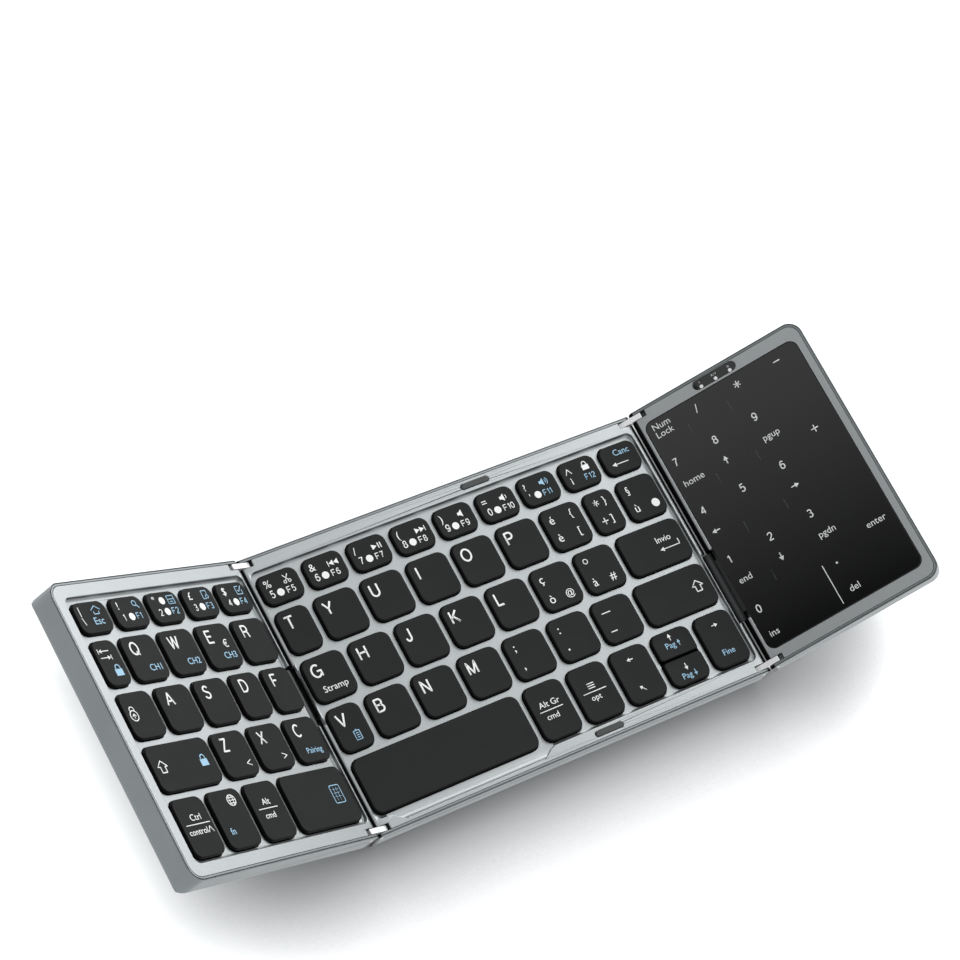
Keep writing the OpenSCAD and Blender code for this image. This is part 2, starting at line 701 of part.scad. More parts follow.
mid_cable_cuts = [[-1, left_barrel_y, left_barrel_l], [1, right_barrel_y, right_barrel_l]];
left_cable_cuts = [[1, left_barrel_y, left_barrel_l]];
mid_plate_margin = [plate_inset, plate_inset];
left_plate_margin = [plate_side, plate_inset];

module middle_key_plate() {
    color("#8f9496") on_middle() key_sheet(mid_w, mid_plate_margin, plate_z, plate_t, mid_cable_cuts,
        mid_screws, screw_r + thread_clear);
}

module middle_membrane() {
    color("#cfd6d8") on_middle() key_sheet(mid_w, mid_plate_margin, membrane_z, membrane_t, mid_cable_cuts,
        mid_screws, screw_head_r + clear);
}

module middle_domes() {
    on_middle() domes(mid_cells);
}

module middle_scissors() {
    on_middle() scissors(mid_cells);
}

module main_board() {
    color("#1f5c3d") on_middle() difference() {
        block(-mid_w/2 + main_board_side, -depth/2 + main_board_front, board_z,
            mid_w/2 - main_board_side, -depth/2 + main_board_rear, board_top_z);
        for (p = mid_screws) translate([p[0], p[1], board_z - cut])
            cylinder(h = board_t + 2*cut, r = post_r + 0.1);
    }
}

module middle_hinge_pins() {
    on_middle() hinge_pins(mid_w, [-1, 1]);
}

module middle_screws() {
    on_middle() screws(mid_screws, plate_z + plate_t);
}

module middle_feet() {
    on_middle() feet(mid_w, [-1, 1]);
}

module rim_stops() {
    color("#3c3f3e") on_middle() stop_places() round_bar(stop_l - 2*seam, stop_w - 2*seam, stop_pocket + stop_proud);
}

// Left hinge and wing

module left_links() {
    links(-1, left_raise);
}

module left_cable_cover() {
    cable_cover(-1, left_raise, left_barrel_y, left_barrel_l);
}

module left_cable() {
    flat_cable(-1, left_raise, left_barrel_y, left_barrel_l, board_top_z + cable_t/2 - pin_z);
}

link_board_x = left_w/2 - link_board_in - link_board_w;
module left_tray() {
    color("#8d9192") on_left() {
        difference() {
            tray(left_w, [1]);
            barrel_cut(left_w, 1, left_barrel_y, left_barrel_l);
        }
        posts(left_screws, board_z);
        for (s = [-1, 1]) translate([link_board_x, left_barrel_y + s*(link_board_d/2 - 1) - 1, floor_t])
            cube([link_board_w, 2, board_z - floor_t]);
    }
}

module left_top_plate() {
    color("#c3c7c8") on_left() difference() {
        top_plate_blank(left_w, [1]);
        key_opening(left_w, left_margin_out, left_margin_in, recess_out, left_cells);
        barrel_cut(left_w, 1, left_barrel_y, left_barrel_l);
    }
}

module left_key_plate() {
    color("#8f9496") on_left() key_sheet(left_w, left_plate_margin, plate_z, plate_t, left_cable_cuts,
        left_screws, screw_r + thread_clear);
}

module left_membrane() {
    color("#cfd6d8") on_left() key_sheet(left_w, left_plate_margin, membrane_z, membrane_t, left_cable_cuts,
        left_screws, screw_head_r + clear);
}

module left_domes() {
    on_left() domes(left_cells);
}

module left_scissors() {
    on_left() scissors(left_cells);
}

module left_connector_board() {
    color("#1f5c3d") on_left() translate([link_board_x, left_barrel_y - link_board_d/2, board_z])
        cube([link_board_w, link_board_d, board_t]);
}

module left_hinge_pins() {
    on_left() hinge_pins(left_w, [1]);
}

module left_screws() {
    on_left() screws(left_screws, plate_z + plate_t);
}

module left_feet() {
    on_left() feet(left_w, [1]);
}

// Magnets stand on the floor against the outer wall and hold the folded wings to the key plate
module magnets(w, side) {
    color("#b9bdc0") for (s = [-1, 1])
        translate([side > 0 ? w/2 - wall_t - magnet_t : -w/2 + wall_t, s*magnet_y - magnet_l/2, floor_t])
            cube([magnet_t, magnet_l, magnet_h]);
}

module left_magnets() {
    on_left() magnets(left_w, -1);
}

// Right hinge and wing

module right_links() {
    links(1, right_raise);
}

module right_cable_cover() {
    cable_cover(1, right_raise, right_barrel_y, right_barrel_l);
}

module right_cable() {
    flat_cable(1, right_raise, right_barrel_y, right_barrel_l, touch_board_z - cable_t/2 - pin_z);
}

// Flattened round opening of the charge socket, centred, running along Y
module socket_shape(grow, l) {
    rotate([90, 0, 0]) round_bar(socket_w + 2*grow, socket_h + 2*grow, l);
}

charge_screws = [for (s = [-1, 1]) [socket_x + s*charge_screw_x, depth/2 - wall_t - charge_screw_in]];
module right_tray() {
    color("#7c8182") on_right() {
        difference() {
            tray(right_w, [-1]);
            barrel_cut(right_w, -1, right_barrel_y, right_barrel_l);
            translate([socket_x, depth/2 + cut, socket_z]) socket_shape(socket_gap, wall_t + 2*cut);
        }
        for (p = charge_screws) translate([p[0], p[1], floor_t]) difference() {
            cylinder(h = charge_board_z - floor_t, r = post_r);
            cylinder(h = charge_board_z, r = screw_r + thread_clear);
        }
    }
}

// Glass outline, grown or shrunk evenly
function glass_outline(grow) = rounded(
    -right_w/2 + glass_in - grow, -depth/2 + glass_front - grow,
    right_w/2 - glass_side + grow, depth/2 - glass_rear + grow, even(glass_r + grow));

module right_top_plate() {
    color("#858a8b") on_right() difference() {
        top_plate_blank(right_w, [-1]);
        barrel_cut(right_w, -1, right_barrel_y, right_barrel_l);
        translate([0, 0, glass_z]) linear_extrude(panel_t) polygon(glass_outline(glass_gap));
        translate([0, 0, seat_z - cut]) linear_extrude(panel_t) polygon(glass_outline(-glass_ledge));
        translate([window_x, window_y, panel_t - window_t]) round_bar(window_l, window_w, window_t + cut);
        translate([window_x, window_y, seat_z - cut])
            round_bar(window_l - 2*window_ledge, window_w - 2*window_ledge, frame_t);
    }
}

module touch_glass() {
    color("#141515") on_right() translate([0, 0, glass_z]) linear_extrude(glass_t) polygon(glass_outline(0));
}

module touch_board() {
    color("#1f5c3d") on_right() translate([0, 0, touch_board_z]) linear_extrude(board_t)
        polygon(glass_outline(-glass_ledge - 0.2));
}

module light_window() {
    color("#3a3d3d") on_right() translate([window_x, window_y, panel_t - window_t])
        round_bar(window_l - 2*window_gap, window_w - 2*window_gap, window_t - 0.05);
}

// Three small lamps on a strip of board under the rear rim
module status_lights() {
    color("#f2f2ea") on_right() {
        block(window_x - led_board_w/2, window_y - led_board_d/2 + 0.6, seat_z - board_t,
            window_x + led_board_w/2, window_y + wall_t/2, seat_z);
        for (i = [-1:1]) translate([window_x + i*led_pitch - led_size[0]/2, window_y - led_size[1]/2, seat_z])
            cube(led_size);
    }
}

module battery() {
    color("#b9bcbe") on_right() soft_block(-battery_w/2, battery_y - battery_d/2, floor_t,
        battery_w/2, battery_y + battery_d/2, floor_t + battery_h, even(1.5), even(0.8), even(0.8));
}

module charge_board() {
    y1 = depth/2 - wall_t - clear;
    color("#1f5c3d") on_right() difference() {
        block(socket_x - charge_board_w/2, y1 - charge_board_d, charge_board_z,
            socket_x + charge_board_w/2, y1, charge_board_z + board_t);
        for (p = charge_screws) translate([p[0], p[1], charge_board_z - cut])
            cylinder(h = board_t + 2*cut, r = screw_r + thread_clear);
    }
}

module charge_socket() {
    color("#c9ccce") on_right() translate([socket_x, depth/2 - socket_sunk, socket_z]) {
        difference() {
            socket_shape(0, socket_l);
            translate([0, cut, 0]) socket_shape(-socket_wall, socket_l - 1 + cut);
        }
        translate([-tongue_w/2, -socket_l + 0.5, -tongue_t/2]) cube([tongue_w, tongue_l + 0.5, tongue_t]);
    }
}

module right_hinge_pins() {
    on_right() hinge_pins(right_w, [-1]);
}

module right_screws() {
    color("#9a9c9d") on_right() for (p = charge_screws) translate([p[0], p[1], charge_board_z + board_t]) {
        cylinder(h = screw_head_h, r = screw_head_r);
        translate([0, 0, -board_t - charge_screw_l])
            cylinder(h = board_t + charge_screw_l + screw_head_h/2, r = screw_r);
    }
}

module right_feet() {
    on_right() feet(right_w, [-1]);
}

module right_magnets() {
    on_right() magnets(right_w, 1);
}

// Keys

module left_number_keys() {
    on_left() caps(row_cells(left_rows, left_x0, 0));
}

module left_upper_keys() {
    on_left() caps(row_cells(left_rows, left_x0, 1));
}

module left_home_keys() {
    on_left() caps(row_cells(left_rows, left_x0, 2));
}

module left_lower_keys() {
    on_left() caps(pick(row_cells(left_rows, left_x0, 3), 1, 3));
}

module left_shift_key() {
    on_left() caps(pick(row_cells(left_rows, left_x0, 3), 0, 0));
}

module left_modifier_keys() {
    on_left() caps(pick(row_cells(left_rows, left_x0, 4), 0, 2));
}

module left_space_key() {
    on_left() caps(pick(row_cells(left_rows, left_x0, 4), 3, 3));
}

module middle_number_keys() {
    on_middle() caps(row_cells(mid_rows, mid_x0, 0));
}

module middle_upper_keys() {
    on_middle() caps(row_cells(mid_rows, mid_x0, 1));
}

module middle_home_keys() {
    on_middle() caps(pick(row_cells(mid_rows, mid_x0, 2), 0, 6));
}

module middle_lower_keys() {
    on_middle() caps(pick(row_cells(mid_rows, mid_x0, 3), 0, 6));
}

module middle_modifier_keys() {
    on_middle() caps(pick(space_row, 1, 2));
}

module enter_key() {
    on_middle() caps(pick(row_cells(mid_rows, mid_x0, 2), 7, 7));
}

module right_shift_key() {
    on_middle() caps(pick(row_cells(mid_rows, mid_x0, 3), 7, 7));
}

module space_key() {
    on_middle() caps([space_row[0]]);
}

module arrow_left_key() {
    on_middle() caps([space_row[3]]);
}

module arrow_up_key() {
    on_middle() caps([up_cell]);
}

module arrow_down_key() {
    on_middle() caps([down_cell]);
}

module arrow_right_key() {
    on_middle() caps([space_row[5]]);
}

middle_tray();
middle_top_plate();
middle_key_plate();
middle_membrane();
middle_domes();
middle_scissors();
main_board();
middle_hinge_pins();
middle_screws();
middle_feet();
rim_stops();
left_links();
left_cable_cover();
left_cable();
left_tray();
left_top_plate();
left_key_plate();
left_membrane();
left_domes();
left_scissors();
left_connector_board();
left_hinge_pins();
left_screws();
left_feet();
left_magnets();
right_links();
right_cable_cover();
right_cable();
right_tray();
right_top_plate();
touch_glass();
touch_board();
light_window();
status_lights();
battery();
charge_board();
charge_socket();
right_hinge_pins();
right_screws();
right_feet();
right_magnets();
left_number_keys();
left_upper_keys();
left_home_keys();
left_lower_keys();
left_shift_key();
left_modifier_keys();
left_space_key();
middle_number_keys();
middle_upper_keys();
middle_home_keys();
middle_lower_keys();
middle_modifier_keys();
enter_key();
right_shift_key();
space_key();
arrow_left_key();
arrow_up_key();
arrow_down_key();
arrow_right_key();
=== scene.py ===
import json
import math

import bmesh
import bpy
from mathutils import Matrix, Quaternion, Vector

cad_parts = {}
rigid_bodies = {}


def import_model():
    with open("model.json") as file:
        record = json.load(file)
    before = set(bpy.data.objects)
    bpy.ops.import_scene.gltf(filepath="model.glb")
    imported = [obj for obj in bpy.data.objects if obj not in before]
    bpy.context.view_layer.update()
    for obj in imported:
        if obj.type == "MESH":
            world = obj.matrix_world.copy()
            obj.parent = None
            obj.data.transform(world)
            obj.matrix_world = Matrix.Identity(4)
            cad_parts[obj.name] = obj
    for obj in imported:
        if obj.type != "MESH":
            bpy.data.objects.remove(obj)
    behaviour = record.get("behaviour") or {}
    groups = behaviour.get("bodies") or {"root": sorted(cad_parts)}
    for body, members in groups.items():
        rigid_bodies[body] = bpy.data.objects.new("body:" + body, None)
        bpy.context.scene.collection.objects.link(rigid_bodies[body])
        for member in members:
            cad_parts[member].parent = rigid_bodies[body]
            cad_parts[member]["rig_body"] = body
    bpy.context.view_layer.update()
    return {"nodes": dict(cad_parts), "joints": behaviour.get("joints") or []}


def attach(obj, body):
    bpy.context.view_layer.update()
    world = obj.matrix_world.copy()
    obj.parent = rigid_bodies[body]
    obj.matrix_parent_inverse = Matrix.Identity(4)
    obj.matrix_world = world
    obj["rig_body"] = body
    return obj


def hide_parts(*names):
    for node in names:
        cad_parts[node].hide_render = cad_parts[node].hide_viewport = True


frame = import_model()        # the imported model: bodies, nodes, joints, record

# Trays
# The lower half of each panel is one aluminium shell, pressed and then milled, with a narrow strip that stands
# round the top plate. It is blasted fine and anodised grey, so it shines softly and its broken edges catch light.
# Its walls are given a darker grey than the top plates as painted shade. The edges that are rolled round the hinge
# pins are painted black from just past the pins, as painted shade in the gap between the panels.
MM = 0.001
TRAY_EDGE = 0.1
BREAK_ANGLE = 40              # degrees: sharper edges are broken
SMOOTH_ANGLE = 32             # and blunter ones are shaded smooth
WELD = 0.001                  # the corners of a solid's triangles that are one point
PIN_TO_RIM = 2.5              # from the pins up to the rim of a top plate
# Where the painted shade on the hinge edges starts and how fast it grows, in mm:
PAINTED_SHADE_START = 0.45            # from the pins out to where the black starts
PAINTED_SHADE_FADE = 0.6              # width in which the black grows full
joints = {joint["name"]: joint for joint in frame["joints"]}


def pin_of(joint):
    """The middle of a hinge's pins."""
    return Vector(joints[joint]["pos_m"])


def wing_place(side, turn):
    """The frame of a wing, from its outer pins and the angle that it is raised by at rest."""
    angle = -math.radians(joints[side + "_inner_hinge"]["range_deg"][0])*turn
    return (Matrix.Translation(pin_of(side + "_outer_hinge")) @ Matrix.Rotation(angle, 4, "Y")
            @ Matrix.Translation((0, 0, PIN_TO_RIM*MM)))


# The middle panel lies on its feet and each wing hangs on its outer pins, raised by its hinge's own angle.
# A panel's own frame has X along it, Y to the back, and zero height at the rim of its top plate.
middle_pins = (pin_of("left_inner_hinge") + pin_of("right_inner_hinge"))/2
places = {
    "middle": Matrix.Translation(middle_pins + Vector((0, 0, PIN_TO_RIM*MM))),
    "left": wing_place("left", 1),
    "right": wing_place("right", -1),
}
PIN_HALF = (pin_of("right_inner_hinge") - pin_of("left_inner_hinge")).x/2/MM


def linear(colour):
    """An sRGB hex colour as the linear colour that a shader takes."""
    parts = [int(colour[i:i + 2], 16)/255 for i in (1, 3, 5)]
    return tuple(c/12.92 if c <= 0.04045 else ((c + 0.055)/1.055)**2.4 for c in parts) + (1.0,)


def add(tree, kind, settings, links):
    """Adds a node to a tree: settings name its attributes or sockets, links give a socket another node's output."""
    node = tree.nodes.new(kind)
    for name, value in settings.items():
        if isinstance(name, str) and hasattr(node, name):
            setattr(node, name, value)
        else:
            node.inputs[name].default_value = value
    for name, output in links.items():
        tree.links.new(output, node.inputs[name])
    return node


def finish(name, light, dark, patch, rough, grain, depth, sockets):
    """A finish of two close shades in soft patches, with a roughness that follows them and a fine grain, in mm."""
    # Blasted metal, moulded skins and rubber have a grain of 0.05 mm or so, which is drawn 5 or 6 times as coarse,
    # so that it shows.
    material = bpy.data.materials.new(name)
    material.use_nodes = True
    tree = material.node_tree
    where = add(tree, "ShaderNodeTexCoord", {}, {}).outputs["Object"]
    patches = add(tree, "ShaderNodeTexNoise", {"Scale": 1/(patch*MM), "Detail": 3.0}, {"Vector": where})
    shades = add(tree, "ShaderNodeMix", {"data_type": "RGBA", 6: linear(light), 7: linear(dark)},
                 {0: patches.outputs[0]})
    shine = add(tree, "ShaderNodeMapRange", {"To Min": rough[0], "To Max": rough[1]}, {"Value": patches.outputs[0]})
    pits = add(tree, "ShaderNodeTexNoise", {"Scale": 1/(grain*MM), "Detail": 1.0}, {"Vector": where})
    bump = add(tree, "ShaderNodeBump", {"Strength": 1.0, "Distance": depth*MM}, {"Height": pits.outputs[0]})
    shader = tree.nodes["Principled BSDF"]
    tree.links.new(shades.outputs[2], shader.inputs["Base Color"])
    tree.links.new(shine.outputs[0], shader.inputs["Roughness"])
    tree.links.new(bump.outputs[0], shader.inputs["Normal"])
    for socket, value in sockets.items():
        shader.inputs[socket].default_value = value
    return material


def only(*pieces):
    """Selects these pieces and nothing else."""
    bpy.ops.object.select_all(action="DESELECT")
    for piece in pieces:
        piece.select_set(True)
    bpy.context.view_layer.objects.active = pieces[0]


def dress(node, name, edge, steps, material):
    """A merged copy of a solid with its sharp edges broken, which is shown in the solid's place."""
    piece = bpy.data.objects.new(name, frame["nodes"][node].data.copy())
    bpy.context.scene.collection.objects.link(piece)
    only(piece)
    bpy.ops.object.mode_set(mode="EDIT")
    bpy.ops.mesh.select_all(action="SELECT")
    bpy.ops.mesh.remove_doubles(threshold=WELD*MM)
    bpy.ops.object.mode_set(mode="OBJECT")
    broken = piece.modifiers.new("broken edges", "BEVEL")
    broken.width = edge*MM
    broken.segments = steps
    broken.limit_method = "ANGLE"
    broken.angle_limit = math.radians(BREAK_ANGLE)
    broken.use_clamp_overlap = False
    broken.face_strength_mode = "FSTR_ALL"
    bpy.ops.object.modifier_apply(modifier=broken.name)
    bpy.ops.object.shade_smooth_by_angle(angle=math.radians(SMOOTH_ANGLE))
    flat = piece.modifiers.new("flat faces stay flat", "WEIGHTED_NORMAL")
    flat.keep_sharp = True
    flat.use_face_influence = True
    bpy.ops.object.modifier_apply(modifier=flat.name)
    wear(piece, material)
    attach(piece, frame["nodes"][node]["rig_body"])
    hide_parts(node)
    return piece


def wear(piece, material):
    """Gives a piece one finish all over."""
    piece.data.materials.clear()
    piece.data.materials.append(material)


def metal_with_painted_hinge_shade(side, name, light, dark, metallic):
    """The blasted metal of one panel, whose hinge edges are painted black from just past the pins, as painted shade.
    """
    material = finish(name + " of the " + side + " panel", light, dark, 14, (0.34, 0.42), 0.3, 0.006,
                      {"Metallic": metallic})
    tree = material.node_tree
    shader = tree.nodes["Principled BSDF"]
    shade = shader.inputs["Base Color"].links[0].from_socket
    to_hinge = places[side].to_3x3().col[0]*(-1 if side == "right" else 1)
    where = add(tree, "ShaderNodeTexCoord", {}, {}).outputs["Object"]
    along = add(tree, "ShaderNodeVectorMath", {"operation": "DOT_PRODUCT", 1: to_hinge}, {0: where}).outputs["Value"]
    own_zero = to_hinge.dot(places[side].translation)
    beyond = add(tree, "ShaderNodeMath", {"operation": "SUBTRACT", 1: own_zero}, {0: along}).outputs[0]
    start = PAINTED_SHADE_START
    if side == "middle":
        beyond = add(tree, "ShaderNodeMath", {"operation": "ABSOLUTE"}, {0: beyond}).outputs[0]
        start += PIN_HALF
    soft = add(tree, "ShaderNodeMapRange", {"interpolation_type": "SMOOTHSTEP", "From Min": start*MM,
               "From Max": (start + PAINTED_SHADE_FADE)*MM}, {"Value": beyond}).outputs[0]
    # Painted shade: the hinge edges turn near-black, standing in for the shade in the gap between the panels.
    painted_hinge_shade = add(tree, "ShaderNodeMix", {"data_type": "RGBA", 7: linear("#050505")}, {0: soft, 6: shade})
    tree.links.new(painted_hinge_shade.outputs[2], shader.inputs["Base Color"])
    return material


for side in places:
    # The walls' grey is darker than the top plates' as painted shade of walls that face sideways.
    wall_metal_painted_darker = metal_with_painted_hinge_shade(side, "blasted anodised aluminium wall", "#7e8384", "#777c7d", 0.9)
    dress(side + "_tray", side + "_tray_shell", TRAY_EDGE, 2, wall_metal_painted_darker)

# Hinge pins
# Ground steel pins pressed through the ears of the trays, four in the middle panel and two in each wing.
# Their ends lie flush with the front and rear walls and show as small bright dots.


def coat(node, material):
    """Gives a solid that is shown as it is one finish all over."""
    for slot in frame["nodes"][node].material_slots:
        slot.material = material


pin_steel = finish("ground steel", "#d2d5d6", "#c4c8ca", 3, (0.2, 0.3), 0.1, 0.002, {"Metallic": 1.0})
for side in places:
    coat(side + "_hinge_pins", pin_steel)

# Circuit boards
# Green lacquered glass-fibre boards: the main board, the left connector board, the touch sensor's board and
# the charge board. The lacquer is smooth, with the weave faint below it.
board_lacquer = finish("green solder lacquer on glass fibre", "#1f6240", "#17502f", 2.5, (0.3, 0.42), 0.4, 0.01, {})
for board in ("main_board", "left_connector_board", "touch_board", "charge_board"):
    coat(board, board_lacquer)

# Battery, magnets, socket and lamps
# The battery is a flat pouch in dull silver foil, the magnets are nickel plated and bright, the charge socket is
# a drawn steel shell with its tongue, and the lamps are small blocks of matt white resin on a strip of board.
inner_finishes = {
    "battery": finish("silver laminate foil", "#bcbfc1", "#aeb2b4", 6, (0.3, 0.45), 0.8, 0.03, {"Metallic": 0.8}),
    "magnets": finish("nickel plate", "#c6c9cb", "#b8bcbe", 4, (0.22, 0.3), 0.2, 0.003, {"Metallic": 1.0}),
    "socket": finish("drawn steel", "#c8cbcd", "#b9bdbf", 2, (0.25, 0.35), 0.15, 0.003, {"Metallic": 1.0}),
    "lights": finish("white lamp resin", "#f4f4ee", "#ecece4", 1, (0.3, 0.4), 0.2, 0.003, {}),
}
for node in frame["nodes"]:
    for ending, material in inner_finishes.items():
        if node.endswith(ending):
            coat(node, material)

# Flat cables
# Copper tracks between two black films, one cable through each hinge gap. The film is smooth with a dull shine.
# A real one bends as its wing folds. Here each keeps its shape at rest and turns with the links.
cable_film = finish("black polyimide film", "#1d1e1e", "#181919", 5, (0.35, 0.45), 0.5, 0.005, {})
for side in ("left", "right"):
    coat(side + "_cable", cable_film)

# Key plates, screws and membranes
# Each keyed panel has a stamped steel plate on its posts, dull grey from its zinc and held by small screws. The
# film on it is printed black, closes a contact under each key, and shows as a dark gap round the caps.
plate_steel = finish("galvanised sheet steel", "#94999b", "#868b8d", 3, (0.35, 0.5), 0.4, 0.01, {"Metallic": 0.9})
screw_steel = finish("zinc-plated screw steel", "#a9acad", "#9b9fa0", 1, (0.28, 0.36), 0.15, 0.004, {"Metallic": 1.0})
contact_film = finish("black-printed polyester film", "#171818", "#131414", 8, (0.3, 0.4), 0.6, 0.004, {})
for side in ("left", "middle"):
    coat(side + "_key_plate", plate_steel)
    coat(side + "_membrane", contact_film)
for side in places:
    coat(side + "_screws", screw_steel)

# Domes and scissor lifts
# A moulded silicone dome springs each key back, and crossed arms of acetal keep the cap level. Both are pale
# and matt, the acetal a little waxy.
dome_silicone = finish("moulded silicone", "#cbc9bf", "#bfbdb3", 2, (0.5, 0.6), 0.3, 0.006, {})
arm_acetal = finish("natural acetal", "#dbdbd6", "#d0d0ca", 2, (0.4, 0.5), 0.3, 0.006, {})
for side in ("left", "middle"):
    coat(side + "_domes", dome_silicone)
    coat(side + "_scissors", arm_acetal)

# Top plates
# A milled aluminium plate drops into each tray with a fine seam round it. It is blasted and anodised as the trays
# are and given a lighter grey than the tray walls, whose darker grey is painted shade. Its edges round the key
# recess, the key holes and the glass are rounded a little, and its hinge edges are painted black as painted shade.
TOP_PLATE_EDGE = 0.2
for side in places:
    top_metal = metal_with_painted_hinge_shade(side, "blasted anodised aluminium top", "#a0a4a5", "#999d9e", 0.85)
    dress(side + "_top_plate", side + "_top_sheet", TOP_PLATE_EDGE, 2, top_metal)

# Key caps
# Each cap is moulded in black ABS: round corners, a small round along the top edge, a top that dips a little,
# and a hollow underside that sits on the scissor lift. The mould gives the top a fine matt skin, which shows dark
# grey, and leaves the sides and the rounded edge smooth. These are given a near-black colour, much darker than the
# top's, as painted shade of the deep gap round each cap.
CAP_CORNER = 3.0
CAP_TOP_EDGE = 0.32
CAP_RIM = 0.5
CAP_DISH = (1.1, 0.05)        # width and depth of the slope
MEETING_CORNER = 1.15         # of the up and down keys, where they meet in their shared hole
MEETING_RIM = 0.3
MEETING_DISH = (0.35, 0.05)
TOP_SKIN = 0.985              # faces flatter than this have the matt skin
CAP_WALL = 1.1
CAP_HOLLOW = 1.2
TOUCH = 0.01                  # how close a corner or edge counts as lying on a face
cap_plastic = finish("matt black moulded ABS", "#292a2a", "#252626", 6, (0.46, 0.54), 0.25, 0.01,
                     {"Specular IOR Level": 0.07})
# The sides' near-black colour is painted shade; their smoothness is real.
cap_side_painted_shade = finish("smooth moulded ABS painted near-black as shade", "#070707", "#050505", 6, (0.4, 0.46), 0.25, 0.002,
                          {"Specular IOR Level": 0.1})
cap_shapes = {}


def pick(kind, test):
    """In edit mode, selects only the edges or faces that pass a test."""
    mesh = bmesh.from_edit_mesh(bpy.context.edit_object.data)
    bpy.ops.mesh.select_mode(type=kind)
    bpy.ops.mesh.select_all(action="DESELECT")
    for item in (mesh.edges if kind == "EDGE" else mesh.faces):
        item.select = test(item)
    mesh.select_flush_mode()
    bmesh.update_edit_mesh(bpy.context.edit_object.data)


def upright(edge):
    return (edge.verts[0].co - edge.verts[1].co).xy.length < TOUCH*MM


def cap_shape(size, meets):
    """One cap of this width, depth and height, centred below its top. A side that meets another has small corners."""
    if (size, meets) not in cap_shapes:
        bpy.ops.mesh.primitive_cube_add(size=1, location=(0, 0, -size[2]/2))
        cap = bpy.context.object
        cap.scale = size
        bpy.ops.object.transform_apply(location=True, scale=True)
        bpy.ops.object.mode_set(mode="EDIT")
        for side in (-1, 1):
            pick("EDGE", lambda edge: upright(edge) and edge.verts[0].co.y*side > size[1]/2 - TOUCH*MM)
            radius, steps = (MEETING_CORNER, 3) if side == meets else (CAP_CORNER, 6)
            bpy.ops.mesh.bevel(offset=radius*MM, segments=steps, affect="EDGES")
        pick("EDGE", lambda edge: max(vert.co.z for vert in edge.verts) > -TOUCH*MM and not upright(edge))
        bpy.ops.mesh.bevel(offset=CAP_TOP_EDGE*MM, segments=3, affect="EDGES")
        pick("FACE", lambda face: face.normal.z > 0.99 and face.calc_center_median().z > -TOUCH*MM)
        rim, (slope, dip) = (MEETING_RIM, MEETING_DISH) if meets else (CAP_RIM, CAP_DISH)
        bpy.ops.mesh.inset(thickness=rim*MM)
        bpy.ops.mesh.inset(thickness=slope*MM, depth=-dip*MM)
        pick("FACE", lambda face: face.normal.z < -0.99)
        bpy.ops.mesh.inset(thickness=CAP_WALL*MM)
        bpy.ops.mesh.extrude_region_move(TRANSFORM_OT_translate={"value": (0, 0, CAP_HOLLOW*MM)})
        bpy.ops.object.mode_set(mode="OBJECT")
        bpy.ops.object.shade_smooth_by_angle(angle=math.radians(40))
        cap_shapes[size, meets] = cap.data
        bpy.data.objects.remove(cap)
    return cap_shapes[size, meets].copy()


def cap_boxes(node, place):
    """The lowest and highest corners of each cap of a node, from left to right, in its panel's frame."""
    blank = bpy.data.objects.new(node + "_blank", frame["nodes"][node].data.copy())
    bpy.context.scene.collection.objects.link(blank)
    blank.data.transform(place.inverted())
    only(blank)
    bpy.ops.object.mode_set(mode="EDIT")
    bpy.ops.mesh.select_all(action="SELECT")
    bpy.ops.mesh.remove_doubles(threshold=WELD*MM)
    bpy.ops.mesh.separate(type="LOOSE")
    bpy.ops.object.mode_set(mode="OBJECT")
    boxes = []
    for part in list(bpy.context.selected_objects):
        corners = [vert.co for vert in part.data.vertices]
        boxes.append(([min(c[i] for c in corners) for i in range(3)], [max(c[i] for c in corners) for i in range(3)]))
        bpy.data.objects.remove(part)
    return sorted(boxes)


key_boxes = {}
for node in sorted(frame["nodes"]):
    if node.endswith(("_key", "_keys")):
        place = places["left" if node.startswith("left_") else "middle"]
        key_boxes[node] = cap_boxes(node, place)
        caps = []
        for low, high in key_boxes[node]:
            size = tuple(round(high[i] - low[i], 6) for i in range(3))
            meets = {"arrow_up_key": -1, "arrow_down_key": 1}.get(node, 0)
            cap = bpy.data.objects.new(node + "_caps", cap_shape(size, meets))
            bpy.context.scene.collection.objects.link(cap)
            cap.data.transform(Matrix.Translation(((low[0] + high[0])/2, (low[1] + high[1])/2, high[2])))
            caps.append(cap)
        only(*caps)
        bpy.ops.object.join()
        caps = bpy.context.object
        caps.name = node + "_caps"
        caps.data.transform(place)
        wear(caps, cap_plastic)
        caps.data.materials.append(cap_side_painted_shade)
        top = (place.to_3x3() @ Vector((0, 0, 1))).normalized()
        for face in caps.data.polygons:
            # Faces steeper than the matt top get the near-black painted shade.
            face.material_index = int(face.normal.dot(top) < TOP_SKIN)
        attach(caps, node)
        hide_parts(node)

# Marks on the keys
# Letters, numbers and plain signs are printed on the caps in two inks, white and light blue. Large letters and
# numbers have even strokes, and small words are set in a plain type. Each print lies on its cap and moves with it.
INK_HALF = 0.04               # half of a print's thickness
INK_Z = -0.135                # below the rim, so that the print stands just proud of the dished tops
LETTER_STROKE = 0.14          # width of a line and gap between letters, as shares of a letter's height
LETTER_GAP = 0.12
TYPE_CAP_HEIGHT = 0.682       # of the built-in type, for a size of one
ARC_STEP = 22.5               # degrees
SHARP_TURN = 0.45             # radians: a line keeps its full width round a sharper turn

